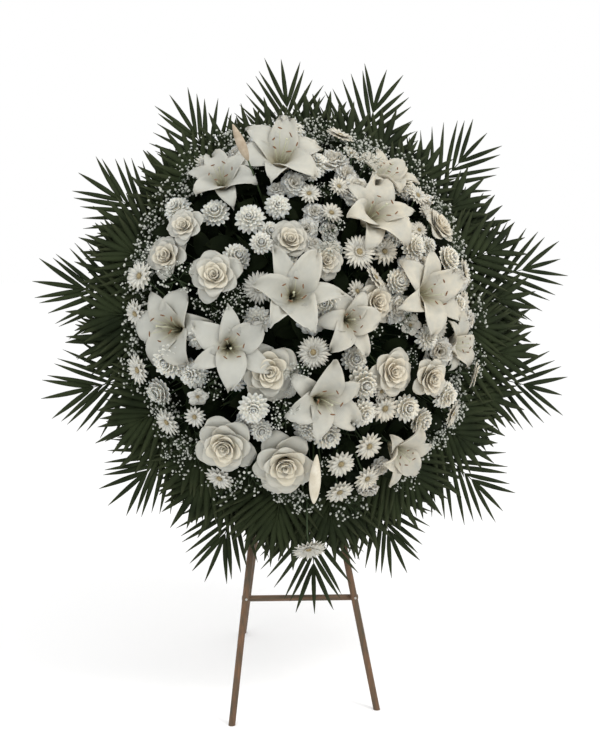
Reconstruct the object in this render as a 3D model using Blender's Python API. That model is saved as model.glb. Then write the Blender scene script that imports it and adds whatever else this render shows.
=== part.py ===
# Funeral wreath of white flowers and palm fronds on a folding wooden easel.
# Metres, +Z up. The floor is z = 0, the rear foot stands on the origin and the wreath faces -Y.
import math

import bmesh
import bpy
from mathutils import Matrix, Vector

# Easel
LEAN = math.radians(10)  # the front legs lean back
LEG_RADIUS = 0.0088
FRONT_FEET_APART = 0.392
PIVOT_UP = 1.10  # along the lean, from the floor to the bolt
LEG_PAST_PIVOT = 0.036
LEG_PITCH_AT_BOLT = 0.0210  # from the rear leg's middle to a front leg's
FEET_SPREAD = 0.70  # from the front feet back to the rear foot
REAR_PAST_PIVOT = 0.014
BAR_UP = 0.31
BAR_RADIUS = 0.0080
BAR_ENDS = (-0.150, 0.163)  # the bar was nailed on a little askew
BAR_SLOPE = -0.066
BOLT_RADIUS = 0.0030
NAIL_RADIUS = 0.0012
PEG_RADIUS = 0.0040
GAP = 0.0003  # between pieces that touch

# Wreath, in its own frame: x to the right, y up the lean, z out of its face
WREATH_UP = 0.985
WREATH_ASIDE = 0.03
BOARD_RADIUS = 0.300
BOARD_THICK = 0.012
CLEAT_THICK = 0.015
CLEAT_HIGH = 0.030
FOAM_SIZE = (0.28, 0.31, 0.150)
FOAM_MIDDLE = (-0.01, 0.030)
HOLE_DEPTH = 0.034
HOLE_PLAY = 0.0006
STEM_RADIUS = 0.0026
BUD_LONG = 0.10
CORE = Vector((-0.01, 0.035, 0.050))  # every stem points at this spot inside the foam

# The dome that the blooms make
DOME_MIDDLE = Vector((-0.01, 0.045, 0.050))
DOME_SIZE = (0.46, 0.50, 0.25)

# Fronds: degrees clockwise from the top, then the reach of the leaf tips
OUTER_FRONDS = (
    (-1, 0.73),
    (21, 0.76),
    (46, 0.79),
    (76, 0.79),
    (104, 0.78),
    (132, 0.74),
    (158, 0.70),
    (180, 0.73),
    (-156, 0.69),
    (-129, 0.67),
    (-103, 0.69),
    (-78, 0.70),
    (-53, 0.70),
    (-27, 0.70),
)
TUFTS = ((0, 1, 2), (3, 4, 5), (6, 7, 8), (9, 10, 11), (12, 13))
LAYER_PITCH = 0.014
FIRST_LAYER = 0.016
BLADE = 0.0008
WIRE_RADIUS = 0.336


def clear_scene():
    for obj in list(bpy.data.objects):
        bpy.data.objects.remove(obj)


def material(name, colour, roughness, metallic=0.0):
    made = bpy.data.materials.new(name)
    made.use_nodes = True
    shader = made.node_tree.nodes["Principled BSDF"]
    shader.inputs["Base Color"].default_value = (*colour, 1)
    shader.inputs["Roughness"].default_value = roughness
    shader.inputs["Metallic"].default_value = metallic
    made.diffuse_color = (*colour, 1)
    return made


def object_from(bm, name, paint, parent=None):
    bmesh.ops.recalc_face_normals(bm, faces=bm.faces)
    mesh = bpy.data.meshes.new(name)
    bm.to_mesh(mesh)
    bm.free()
    obj = bpy.data.objects.new(name, mesh)
    bpy.context.scene.collection.objects.link(obj)
    mesh.materials.append(paint)
    obj.parent = parent
    return obj


def hide_cutter(obj):
    obj.hide_render = True
    obj.display_type = "WIRE"


def boolean(obj, other, operation, solver="EXACT"):
    made = obj.modifiers.new(operation.lower(), "BOOLEAN")
    made.operation = operation
    made.solver = solver
    if isinstance(other, bpy.types.Collection):
        made.operand_type = "COLLECTION"
        made.collection = other
    else:
        made.object = other
    return made


# Closed pieces, each added to a bmesh


def frame_to(direction, spin=0.0):
    """A rotation that takes +Z to the direction, turned about it by spin."""
    turn = Vector(direction).normalized().to_track_quat("Z", "Y").to_matrix()
    return turn @ Matrix.Rotation(spin, 3, "Z")


def ring_at(bm, middle, turn, radius, sides):
    ring = []
    for k in range(sides):
        angle = math.tau * k / sides
        out = turn @ Vector((math.cos(angle), math.sin(angle), 0))
        ring.append(bm.verts.new(Vector(middle) + out * radius))
    return ring


def bridge(bm, first, second):
    """Triangles between two rings that run the same way, whatever their counts."""
    i = j = 0
    many, more = len(first), len(second)
    while i < many or j < more:
        if j >= more or (i < many and (i + 1) * more <= (j + 1) * many):
            bm.faces.new((first[i % many], first[(i + 1) % many], second[j % more]))
            i += 1
        else:
            bm.faces.new((second[(j + 1) % more], second[j % more], first[i % many]))
            j += 1


def fan_to(bm, ring, apex):
    apex = bm.verts.new(apex)
    for k in range(len(ring)):
        bm.faces.new((ring[k - 1], ring[k], apex))


def rod(bm, points, radii, sides, turn=None, first=None, against=False):
    """A tube through the points. It starts from the ring given, or else from a flat end.

    With against, the rings face back along the tube, as those of a bloom do above its stem.
    """
    points = [Vector(p) for p in points]
    rings = [first] if first else []
    for i, point in enumerate(points):
        ahead = (points[min(i + 1, len(points) - 1)] - points[max(i - 1, 0)]).normalized()
        ahead = -ahead if against else ahead
        if turn is None:
            turn = frame_to(ahead)
        turn = (turn @ Vector((0, 0, 1))).rotation_difference(ahead).to_matrix() @ turn
        rings.append(ring_at(bm, point, turn, radii[i], sides))
    for low, high in zip(rings, rings[1:]):
        bridge(bm, low, high)
    if not first:
        bm.faces.new(rings[0])
    bm.faces.new(rings[-1])


def star(bm, place, turn, petals, hub, stations, thick):
    """A whorl of petals cut from one bent sheet, open at its hub.

    Each station is (radius, half width, height) and half width 0 is a pointed tip.
    It returns the hub's upper and lower rings.
    """
    profile = [hub] + [(s[0], s[2]) for s in stations]
    normals = []
    for i in range(len(profile)):
        a = profile[max(i - 1, 0)]
        b = profile[min(i + 1, len(profile) - 1)]
        run = Vector((b[0] - a[0], b[1] - a[1])).normalized()
        normals.append(Vector((-run.y, run.x)))

    def point(radius, across, height, angle, normal, side):
        flat = Vector((radius + normal.x * thick * side, across, height + normal.y * thick * side))
        return place + turn @ (Matrix.Rotation(angle, 3, "Z") @ flat)

    hubs = []
    skins = []
    for side in (0.5, -0.5):
        corner = math.pi / petals
        hubs.append(
            [
                bm.verts.new(point(hub[0], 0, hub[1], 2 * corner * k - corner, normals[0], side))
                for k in range(petals)
            ]
        )
        blades = []
        for k in range(petals):
            rows = []
            for (radius, across, height), normal in zip(stations, normals[1:]):
                edges = (-across, across) if across else (0,)
                angle = 2 * corner * k
                rows.append([bm.verts.new(point(radius, w, height, angle, normal, side)) for w in edges])
            blades.append(rows)
        skins.append(blades)
    for k in range(petals):
        loops = []
        for ring, blades in zip(hubs, skins):
            previous = [ring[k], ring[(k + 1) % petals]]
            loop = [previous[0]] + [row[0] for row in blades[k]]
            loop += [row[1] for row in reversed(blades[k]) if len(row) == 2] + [previous[1]]
            loops.append(loop)
            for row in blades[k]:
                bm.faces.new((previous[0], previous[1], row[-1]))
                if len(row) == 2:
                    bm.faces.new((previous[0], row[1], row[0]))
                previous = row
        for i in range(len(loops[0]) - 1):
            bm.faces.new((loops[0][i], loops[0][i + 1], loops[1][i + 1], loops[1][i]))
    return hubs


def petal_rows(bm, place, turn, petals, rings):
    """Rings of short petals that stand out of one core. Each ring is (tip, notch, height)."""
    rows = []
    count = 2 * petals
    for level, (tip, notch, height) in enumerate(rings):
        row = []
        for k in range(count):
            out = (k + level) % 2 == 0
            angle = math.pi * k / petals
            reach = tip if out else notch
            high = height if out else height * 0.93
            flat = Vector((math.cos(angle) * reach, math.sin(angle) * reach, high))
            row.append(bm.verts.new(place + turn @ flat))
        rows.append(row)
    for low, high in zip(rows, rows[1:]):
        for k in range(count):
            after = (k + 1) % count
            bm.faces.new((low[k], low[after], high[k]))
            bm.faces.new((low[after], high[after], high[k]))
    return rows


# Places on the dome


def dome_place(x, y, lift=0.0):
    """The spot on the dome in front of (x, y), and the direction out of the dome there."""
    across = (x - DOME_MIDDLE.x) / DOME_SIZE[0]
    up = (y - DOME_MIDDLE.y) / DOME_SIZE[1]
    out = math.hypot(across, up)
    if out > 0.965:
        across, up = across * 0.965 / out, up * 0.965 / out
        out = 0.965
    ahead = math.sqrt(1 - out * out)
    spot = DOME_MIDDLE + Vector((across * DOME_SIZE[0], up * DOME_SIZE[1], ahead * DOME_SIZE[2]))
    normal = Vector((across / DOME_SIZE[0], up / DOME_SIZE[1], ahead / DOME_SIZE[2])).normalized()
    return spot + normal * lift, normal


def foam_entry(spot):
    """Where the line from the core to the spot leaves the foam."""
    inside, outside = 0.0, 1.0
    for _ in range(30):
        middle = (inside + outside) / 2
        p = CORE + (Vector(spot) - CORE) * middle
        across = (p.x - FOAM_MIDDLE[0]) / FOAM_SIZE[0]
        up = (p.y - FOAM_MIDDLE[1]) / FOAM_SIZE[1]
        if math.hypot(across, up) < foam_profile(p.z):
            inside = middle
        else:
            outside = middle
    return CORE + (Vector(spot) - CORE) * inside


FOAM_PROFILE = ((0.0, 1.0), (0.090, 0.97), (0.120, 0.86), (0.140, 0.62), (0.150, 0.30))


def foam_profile(z):
    if z <= 0:
        return 1.0
    for (low, wide), (high, narrow) in zip(FOAM_PROFILE, FOAM_PROFILE[1:]):
        if z <= high:
            return wide + (narrow - wide) * (z - low) / (high - low)
    return 0.0


def frond_height(radius, layer, aside):
    """The fronds' layers are parallel, and arch back towards the leaf tips."""
    past = max(radius - 0.30, 0)
    return FIRST_LAYER + LAYER_PITCH * layer - 0.12 * past * past - 0.30 * aside * aside


# Easel


def in_easel(x, up, out):
    """A point given in the plane of the front legs, with out towards the viewer."""
    back = up * math.sin(LEAN) - out * math.cos(LEAN)
    return Vector((x, back - FEET_SPREAD, up * math.cos(LEAN) + out * math.sin(LEAN)))


def front_leg_x(up):
    foot = FRONT_FEET_APART / 2
    return foot + (LEG_PITCH_AT_BOLT - foot) * up / PIVOT_UP


def bar_up(x):
    """How far up the lean the crossbar's middle is, at x."""
    return BAR_UP - 0.004 + BAR_SLOPE * x


def pole(name, low, high, radius, paint, cut_floor=True):
    """A round pole, its foot cut flat on the floor."""
    bm = bmesh.new()
    low, high = Vector(low), Vector(high)
    if cut_floor:
        low = low - (high - low).normalized() * 0.05
    rod(bm, (low, high), (radius, radius), 14)
    if cut_floor:
        everything = bm.verts[:] + bm.edges[:] + bm.faces[:]
        bmesh.ops.bisect_plane(bm, geom=everything, plane_co=(0, 0, 0), plane_no=(0, 0, -1), clear_outer=True)
        bmesh.ops.holes_fill(bm, edges=[e for e in bm.edges if e.is_boundary], sides=0)
    obj = object_from(bm, name, paint)
    obj.data.shade_smooth()
    obj.data.set_sharp_from_angle(angle=math.radians(40))
    return obj


def cutter(name, start, end, radius, sides=12):
    bm = bmesh.new()
    rod(bm, (start, end), (radius, radius), sides)
    obj = object_from(bm, name, bpy.data.materials["wood"])
    hide_cutter(obj)
    return obj


def make_easel():
    wood = material("wood", (0.19, 0.105, 0.052), 0.62)
    steel = material("zinc_plated_steel", (0.55, 0.54, 0.50), 0.38, 1.0)
    legs = {}
    for side, word in ((-1, "left"), (1, "right")):
        foot = in_easel(side * front_leg_x(0), 0, 0)
        top_up = PIVOT_UP + LEG_PAST_PIVOT
        top = in_easel(side * front_leg_x(top_up), top_up, 0)
        legs[word] = pole(f"{word}_front_leg", foot, top, LEG_RADIUS, wood)
    pivot = in_easel(0, PIVOT_UP, 0)
    rear_foot = Vector((0, 0, 0))
    upward = (pivot - rear_foot).normalized()
    rear = pole("rear_leg", rear_foot, pivot + upward * REAR_PAST_PIVOT, LEG_RADIUS, wood)
    behind = -(LEG_RADIUS + GAP + BAR_RADIUS)
    bar = pole(
        "lower_crossbar",
        in_easel(BAR_ENDS[0], bar_up(BAR_ENDS[0]), behind),
        in_easel(BAR_ENDS[1], bar_up(BAR_ENDS[1]), behind),
        BAR_RADIUS,
        wood,
        cut_floor=False,
    )
    bolt_half = LEG_PITCH_AT_BOLT + LEG_RADIUS + 0.0018
    beside = Vector((0.06, 0, 0))
    bolt_hole = cutter("bolt_hole", pivot - beside, pivot + beside, BOLT_RADIUS + 0.0004)
    for leg in (*legs.values(), rear):
        boolean(leg, bolt_hole, "DIFFERENCE")
    make_bolt(pivot, bolt_half, steel)
    for side, word in ((-1, "left"), (1, "right")):
        x = side * front_leg_x(BAR_UP)
        up = bar_up(x)
        x = side * front_leg_x(up)
        head = in_easel(x, up, LEG_RADIUS + GAP)
        tip = in_easel(x, up, behind - BAR_RADIUS * 0.5)
        deep = in_easel(x, up, behind - BAR_RADIUS * 0.55)
        hole = cutter(f"{word}_nail_hole", in_easel(x, up, 0.05), deep, NAIL_RADIUS + 0.0004, 8)
        boolean(legs[word], hole, "DIFFERENCE")
        boolean(bar, hole, "DIFFERENCE")
        make_nail(f"{word}_nail", head, tip, steel)
        peg_up = WREATH_UP - 0.235 - CLEAT_HIGH / 2 - PEG_RADIUS - GAP
        x = side * front_leg_x(peg_up)
        start = in_easel(x, peg_up, -LEG_RADIUS * 0.3)
        deep = in_easel(x, peg_up, -LEG_RADIUS * 0.35)
        hole = cutter(f"{word}_peg_hole", deep, in_easel(x, peg_up, 0.05), PEG_RADIUS + GAP)
        boolean(legs[word], hole, "DIFFERENCE")
        bm = bmesh.new()
        rod(bm, (start, in_easel(x, peg_up, LEG_RADIUS + CLEAT_THICK)), (PEG_RADIUS,) * 2, 12)
        peg = object_from(bm, f"{word}_peg", wood)
        peg.data.shade_smooth()
        peg.data.set_sharp_from_angle(angle=math.radians(40))
    return wood


def make_bolt(pivot, half, steel):
    """A hex bolt on the pivot's axis, and its wing nut at the right."""
    across = Vector((1, 0, 0))
    bm = bmesh.new()
    head_in = pivot - across * half
    rod(bm, (head_in - across * 0.0045, head_in - across * 0.0001), (0.0060, 0.0060), 6)
    shaft = bmesh.new()
    rod(shaft, (head_in - across * 0.003, pivot + across * (half + 0.012)), (BOLT_RADIUS,) * 2, 12)
    bolt = object_from(bm, "pivot_bolt", steel)
    fuse(bolt, [object_from(shaft, "shaft", steel)])
    bm = bmesh.new()
    nut_in = pivot + across * (half + 0.0002)
    rod(bm, (nut_in, nut_in + across * 0.0065), (0.0064, 0.0050), 12)
    wings = []
    for sign in (-1, 1):
        wing = bmesh.new()
        low = nut_in + across * 0.002 + Vector((0, 0, sign * 0.0042))
        rod(wing, (low, low + across * 0.007 + Vector((0, 0, sign * 0.010))), (0.0024, 0.0030), 8)
        wings.append(object_from(wing, f"wing_{sign}", steel))
    nut = object_from(bm, "wing_nut", steel)
    fuse(nut, wings)
    bore = cutter("nut_bore", pivot, pivot + across * 0.08, BOLT_RADIUS + 0.0003)
    boolean(nut, bore, "DIFFERENCE")


def make_nail(name, head, tip, steel):
    out = (head - tip).normalized()
    bm = bmesh.new()
    rod(bm, (head, head + out * 0.0012), (0.0034, 0.0030), 10)
    shaft = bmesh.new()
    rod(shaft, (tip, head + out * 0.0006), (NAIL_RADIUS,) * 2, 6)
    fuse(object_from(bm, name, steel), [object_from(shaft, "shaft", steel)])


def fuse(obj, others, solver="MANIFOLD"):
    """One union of the object with the others, applied."""
    group = bpy.data.collections.new("joined")
    bpy.context.scene.collection.children.link(group)
    for other in others:
        bpy.context.scene.collection.objects.unlink(other)
        group.objects.link(other)
    boolean(obj, group, "UNION", solver)
    graph = bpy.context.evaluated_depsgraph_get()
    graph.update()
    joined = bpy.data.meshes.new_from_object(obj.evaluated_get(graph))
    obj.modifiers.clear()
    obj.data = joined
    for other in others:
        bpy.data.objects.remove(other)
    bpy.data.collections.remove(group)


# Board, cleats and foam


def box(bm, low, high):
    made = bmesh.ops.create_cube(bm, size=1)
    middle = (Vector(low) + Vector(high)) / 2
    size = Vector(high) - Vector(low)
    for vert in made["verts"]:
        vert.co = Vector((vert.co.x * size.x, vert.co.y * size.y, vert.co.z * size.z)) + middle


def make_backing(wreath):
    plywood = material("plywood", (0.42, 0.29, 0.16), 0.7)
    bm = bmesh.new()
    rod(bm, ((0, 0, -BOARD_THICK), (0, 0, 0)), (BOARD_RADIUS,) * 2, 28)
    object_from(bm, "backing_board", plywood, wreath)
    back = -BOARD_THICK - GAP
    for name, up, half in (("upper_cleat", 0.055, 0.13), ("lower_cleat", -0.235, 0.15)):
        bm = bmesh.new()
        box(bm, (-half, up - CLEAT_HIGH / 2, back - CLEAT_THICK), (half, up + CLEAT_HIGH / 2, back))
        object_from(bm, name, plywood, wreath)


def make_foam(wreath, holes):
    foam = material("floral_foam", (0.035, 0.11, 0.04), 0.9)
    sides = 24
    bm = bmesh.new()
    rings = []
    for z, wide in FOAM_PROFILE:
        ring = []
        for k in range(sides):
            angle = math.tau * k / sides
            x = FOAM_MIDDLE[0] + FOAM_SIZE[0] * wide * math.cos(angle)
            y = FOAM_MIDDLE[1] + FOAM_SIZE[1] * wide * math.sin(angle)
            ring.append(bm.verts.new((x, y, z + GAP)))
        rings.append(ring)
    for low, high in zip(rings, rings[1:]):
        for k in range(sides):
            bm.faces.new((low[k - 1], low[k], high[k], high[k - 1]))
    bm.faces.new(reversed(rings[0]))
    bm.faces.new(rings[-1])
    block = object_from(bm, "flower_foam", foam, wreath)
    group = bpy.data.collections.new("stem_holes")
    bpy.context.scene.collection.children.link(group)
    for index, (deep, outside, radius) in enumerate(holes):
        bm = bmesh.new()
        rod(bm, (deep, outside), (radius, radius), 4)
        hole = object_from(bm, f"stem_hole_{index}", foam, wreath)
        hide_cutter(hole)
        bpy.context.scene.collection.objects.unlink(hole)
        group.objects.link(hole)
    boolean(block, group, "DIFFERENCE", "MANIFOLD")


HOLES = []


def stem_foot(spot, radius=STEM_RADIUS):
    """The stem's end in the foam, below the spot, and its hole."""
    entry = foam_entry(spot)
    inward = (CORE - entry).normalized()
    foot = entry + inward * HOLE_DEPTH
    HOLES.append((foot + inward * 0.0008, entry - inward * 0.03, radius * math.sqrt(2) + HOLE_PLAY))
    return foot


# Fronds


def frond_mesh(bm, clock, reach, layer, pairs, start=0.235):
    """One arched blade, its leaflets cut to the rib, with the rib running back into the foam."""
    clock = math.radians(clock)
    outward = Vector((math.sin(clock), math.cos(clock)))
    sideways = Vector((math.cos(clock), -math.sin(clock)))
    first = 0.345
    last = reach - 0.125
    stations = [start, 0.300] + [first + (last - first) * i / pairs for i in range(pairs + 1)]

    def point(along, aside, thick):
        flat = outward * along + sideways * aside
        flat = flat + Vector((FOAM_MIDDLE[0] * 0.5, FOAM_MIDDLE[1] * 0.5))
        return (flat.x, flat.y, frond_height(along, layer, aside) + thick / 2)

    skins = []
    for face in (1, -1):
        rib = []
        for i, along in enumerate(stations):
            wide = 0.0030 if i < 2 else 0.0030 - 0.0015 * (i - 2) / pairs
            thick = 0.0034 if i < 3 else BLADE + 0.0016 * (1 - (i - 2) / pairs)
            rib.append([bm.verts.new(point(along, s * wide, face * thick)) for s in (-1, 1)])
        leaves = []
        for i in range(pairs):
            t = i / (pairs - 1)
            pitch = (last - first) / pairs
            angle = math.radians(64 - 42 * t)
            long = (0.135 + 0.06 * math.sin(math.pi * min(t * 0.9 + 0.15, 1))) * reach / 0.72
            half = min(0.0090, 0.40 * pitch * math.sin(angle))
            for s in (-1, 1):
                base = Vector((stations[i + 2] + pitch / 2, s * 0.003))
                way = Vector((math.cos(angle), s * math.sin(angle)))
                cross = Vector((-way.y, way.x)) * s
                mid = base + way * long * 0.42
                tip = base + way * long
                outline = [tip, mid - cross * half]
                leaves.append([bm.verts.new(point(p.x, p.y, face * BLADE)) for p in outline])
        tip = Vector((last + 0.125, 0))
        mid = Vector((last + 0.045, 0))
        end = [mid + Vector((0, -0.005)), tip, mid + Vector((0, 0.005))]
        leaves.append([bm.verts.new(point(p.x, p.y, face * BLADE)) for p in end])
        skins.append((rib, leaves))
    for index, (rib, leaves) in enumerate(skins):
        flip = index == 1
        for a, b in zip(rib, rib[1:]):
            face = (a[0], a[1], b[1], b[0])
            bm.faces.new(face[::-1] if flip else face)
        for i in range(pairs):
            for s in (0, 1):
                near, far = rib[i + 2][s], rib[i + 3][s]
                outline = leaves[2 * i + s]
                face = (near, *outline, far)
                turned = (s == 1) != flip
                fan(bm, face[::-1] if turned else face, turned)
        end = leaves[-1]
        face = (rib[-1][0], rib[-1][1], end[2], end[1], end[0])
        bm.faces.new(face[::-1] if flip else face)
    for i in range(len(stations) - 1):
        for s in (0, 1):
            tops, lows = skins[0][0], skins[1][0]
            if i < 2:
                bm.faces.new((tops[i][s], tops[i + 1][s], lows[i + 1][s], lows[i][s]))
                continue
            upper = [tops[i][s], *skins[0][1][2 * (i - 2) + s], tops[i + 1][s]]
            lower = [lows[i][s], *skins[1][1][2 * (i - 2) + s], lows[i + 1][s]]
            wall(bm, upper, lower)
    rims = [[rib[-1][0], *leaves[-1], rib[-1][1]] for rib, leaves in skins]
    wall(bm, rims[0], rims[1])
    butts = [rib[0] for rib, _ in skins]
    bm.faces.new((butts[0][0], butts[0][1], butts[1][1], butts[1][0]))


def fan(bm, face, turned):
    """A leaflet's triangles, split alike on its upper and lower face."""
    near, tip, outer, far = face[::-1] if turned else face
    for piece in ((near, tip, outer), (near, outer, far)):
        bm.faces.new(piece[::-1] if turned else piece)


def wall(bm, upper, lower):
    for i in range(len(upper) - 1):
        bm.faces.new((upper[i], upper[i + 1], lower[i + 1]))
        bm.faces.new((upper[i], lower[i + 1], lower[i]))


def frond_hole(clock, layer, start=0.235):
    clock = math.radians(clock)
    outward = Vector((math.sin(clock), math.cos(clock)))
    shift = Vector((FOAM_MIDDLE[0] * 0.5, FOAM_MIDDLE[1] * 0.5))
    z = frond_height(0.28, layer, 0)
    ends = []
    for along in (start - 0.001, 0.36):
        flat = outward * along + shift
        ends.append(Vector((flat.x, flat.y, z)))
    return (*ends, 0.0056)


def make_fronds(wreath):
    green = material("palm_green", (0.022, 0.038, 0.016), 0.5)
    for index, (clock, reach) in enumerate(OUTER_FRONDS):
        bm = bmesh.new()
        layer = index % 2
        frond_mesh(bm, clock, reach, layer, 7)
        object_from(bm, f"outer_frond_{index + 1:02d}", green, wreath)
        HOLES.append(frond_hole(clock, layer))
    for tuft, members in enumerate(TUFTS):
        pieces = []
        for index in members:
            clock = inner_clock(index)
            bm = bmesh.new()
            frond_mesh(bm, clock, 0.61, 2 + index % 2, 4)
            pieces.append(object_from(bm, f"inner_frond_{index}", green, wreath))
            HOLES.append(frond_hole(clock, 2 + index % 2))
        pieces.append(tuft_wire(members, wreath, green))
        fuse(pieces[0], pieces[1:])
        pieces[0].name = f"inner_tuft_{tuft + 1}"


def inner_clock(index):
    """An inner frond fills the gap between two outer ones."""
    here, there = OUTER_FRONDS[index][0], OUTER_FRONDS[(index + 1) % len(OUTER_FRONDS)][0]
    return here + ((there - here) % 360) / 2


def tuft_wire(members, wreath, paint):
    """The florist's wire that threads a tuft's ribs, just outside the foam."""
    route = []
    for index in members:
        clock = math.radians(inner_clock(index))
        spot = Vector((math.sin(clock), math.cos(clock))) * WIRE_RADIUS
        spot += Vector(FOAM_MIDDLE) * 0.5
        height = frond_height(WIRE_RADIUS, 2 + index % 2, 0)
        route.append(Vector((spot.x, spot.y, height)))
    first = route[0] + (route[0] - route[1]).normalized() * 0.004
    last = route[-1] + (route[-1] - route[-2]).normalized() * 0.004
    bm = bmesh.new()
    rod(bm, [first, *route[1:-1], last], [0.0012] * len(route), 4)
    return object_from(bm, "tuft_wire", paint, wreath)


# Flowers


LILY_DEEP = 0.070  # from the mouth's middle back to the base


def lily(bm, spot, axis, spin, size, route):
    """Six petals from a narrow throat, round a long pistil."""
    turn = frame_to(axis, spin)
    base = spot - axis * LILY_DEEP * size
    shape = ((0.036, 0.0155, 0.060), (0.088, 0, 0.066))
    stations = [tuple(v * size for v in s) for s in shape]
    upper, lower = star(bm, base, turn, 6, (0.008 * size, 0.0), stations, 0.0011)
    fan_to(bm, upper, base + axis * 0.064 * size)
    rod(bm, [base - axis * 0.006, *route], [STEM_RADIUS * 0.8] * (len(route) + 1), 3, turn, lower, True)


def lily_bud(bm, spot, axis, spin, size, route):
    """A closed bud, swollen in the middle."""
    turn = frame_to(axis, spin)
    shape = ((1.0, 0.0022), (0.78, 0.0085), (0.42, 0.0105), (0.10, 0.0070))
    points = [spot + axis * BUD_LONG * size * along for along, _ in shape]
    radii = [wide * size for _, wide in shape]
    points += [spot, *route]
    radii += [STEM_RADIUS] + [STEM_RADIUS * 0.8] * len(route)
    rod(bm, points, radii, 5, turn=turn, against=True)


def rose(bm, spot, axis, spin, radius, route):
    """A whorl of five open petals round a heart of closed ones."""
    turn = frame_to(axis, spin)
    base = spot - axis * 0.42 * radius
    stations = [(0.92 * radius, 0.50 * radius, 0.36 * radius)]
    upper, lower = star(bm, base, turn, 5, (0.24 * radius, 0.0), stations, 0.0012)
    shape = ((0.44, 0.31, 0.24), (0.46, 0.32, 0.52), (0.30, 0.20, 0.78))
    rows = petal_rows(bm, base, turn, 5, [tuple(v * radius for v in s) for s in shape])
    bridge(bm, upper, rows[0])
    fan_to(bm, rows[-1], base + axis * 0.70 * radius)
    rod(bm, [base - axis * 0.010, *route], [STEM_RADIUS * 0.8] * (len(route) + 1), 3, turn, lower, True)


def daisy(bm, spot, axis, spin, radius, route, petals=8):
    """One flat whorl of petals round a raised disc."""
    turn = frame_to(axis, spin)
    base = spot - axis * 0.10 * radius
    stations = [(0.95 * radius, 0.80 * radius * math.tan(math.pi / petals), 0.18 * radius)]
    upper, lower = star(bm, base, turn, petals, (0.28 * radius, 0.0), stations, 0.0010)
    fan_to(bm, upper, base + axis * 0.14 * radius)
    rod(bm, [base - axis * 0.008, *route], [STEM_RADIUS * 0.8] * (len(route) + 1), 3, turn, lower, True)


def pompon(bm, spot, axis, spin, radius, route):
    """A dense head of short petals in three rings."""
    turn = frame_to(axis, spin)
    base = spot - axis * 0.40 * radius
    shape = ((1.0, 0.62, 0.14), (0.82, 0.52, 0.56), (0.50, 0.28, 0.88))
    rows = petal_rows(bm, base, turn, 5, [tuple(v * radius for v in s) for s in shape])
    fan_to(bm, rows[-1], base + axis * 0.76 * radius)
    route = [base - axis * 0.16 * radius, *route]
    rod(bm, route, [STEM_RADIUS * 0.8] * len(route), 3, turn, rows[0], True)


def umbel(bm, spot, axis, spin, radius, route):
    """Five thin stalks from one joint, each with a floret at its end."""
    turn = frame_to(axis, spin)
    base = spot - axis * 0.66 * radius
    shape = ((0.86 * radius, 0.0009, 0.60 * radius), (0.86 * radius + 0.005, 0.0046, 0.62 * radius))
    tip = (0.86 * radius + 0.011, 0, 0.63 * radius)
    upper, lower = star(bm, base, turn, 5, (0.0016, 0.0), (*shape, tip), 0.0012)
    fan_to(bm, upper, base + axis * 0.003)
    rod(bm, [base - axis * 0.005, *route], [0.0013] * (len(route) + 1), 3, turn, lower, True)


BLOOMS = {
    "lily": lily,
    "bud": lily_bud,
    "rose": rose,
    "daisy": daisy,
    "low": daisy,
    "pompon": pompon,
    "umbel": umbel,
}
# From a head's place back to its stem, as a part of the head's size
FOOT_BELOW = {"lily": 0.070, "bud": 0, "rose": 0.5, "daisy": 0.1, "low": 0.1, "pompon": 0.5, "umbel": 0.66}


def head_place(want):
    kind, x, y, _, lift, tilt = want
    if kind == "low":
        return Vector((x, y, 0.105)), Vector((0, -0.86, 0.50)).normalized()
    spot, normal = dome_place(x, y, lift)
    return spot, (normal + tilt).normalized()


def plant(name, heads, paint, wreath):
    """One stem from the foam, forked below its heads."""
    wanted = []
    for kind, x, y, size, lift, *rest in heads:
        wanted.append((kind, x, y, size, lift, Vector(rest[0]) if rest else Vector()))
    middle = sum((head_place(w)[0] for w in wanted), Vector()) / len(wanted)
    entry = foam_entry(middle)
    single = len(wanted) == 1
    fork = entry if single else entry + (middle - entry) * 0.30
    pieces = []
    for want in wanted:
        kind, x, y, size = want[:4]
        spin = 40 * x + 70 * y
        spot, normal = head_place(want)
        foot = spot - normal * FOOT_BELOW[kind] * size
        knee = foot - normal * 0.018 + (fork - foot) * 0.10
        rest = [knee, fork + (entry - fork).normalized() * 0.008]
        if single:
            rest = [knee, fork, stem_foot(middle)]
        bm = bmesh.new()
        BLOOMS[kind](bm, spot, normal, spin, size, rest)
        pieces.append(bm)
    if not single:
        bm = bmesh.new()
        end = fork + (middle - fork).normalized() * 0.003
        rod(bm, (stem_foot(middle), end), (STEM_RADIUS, STEM_RADIUS * 1.1), 5)
        pieces.append(bm)
    objects = [object_from(bm, name, paint, wreath) for bm in pieces]
    if len(objects) > 1:
        fuse(objects[0], objects[1:])
    objects[0].name = name
    return objects[0]


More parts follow.
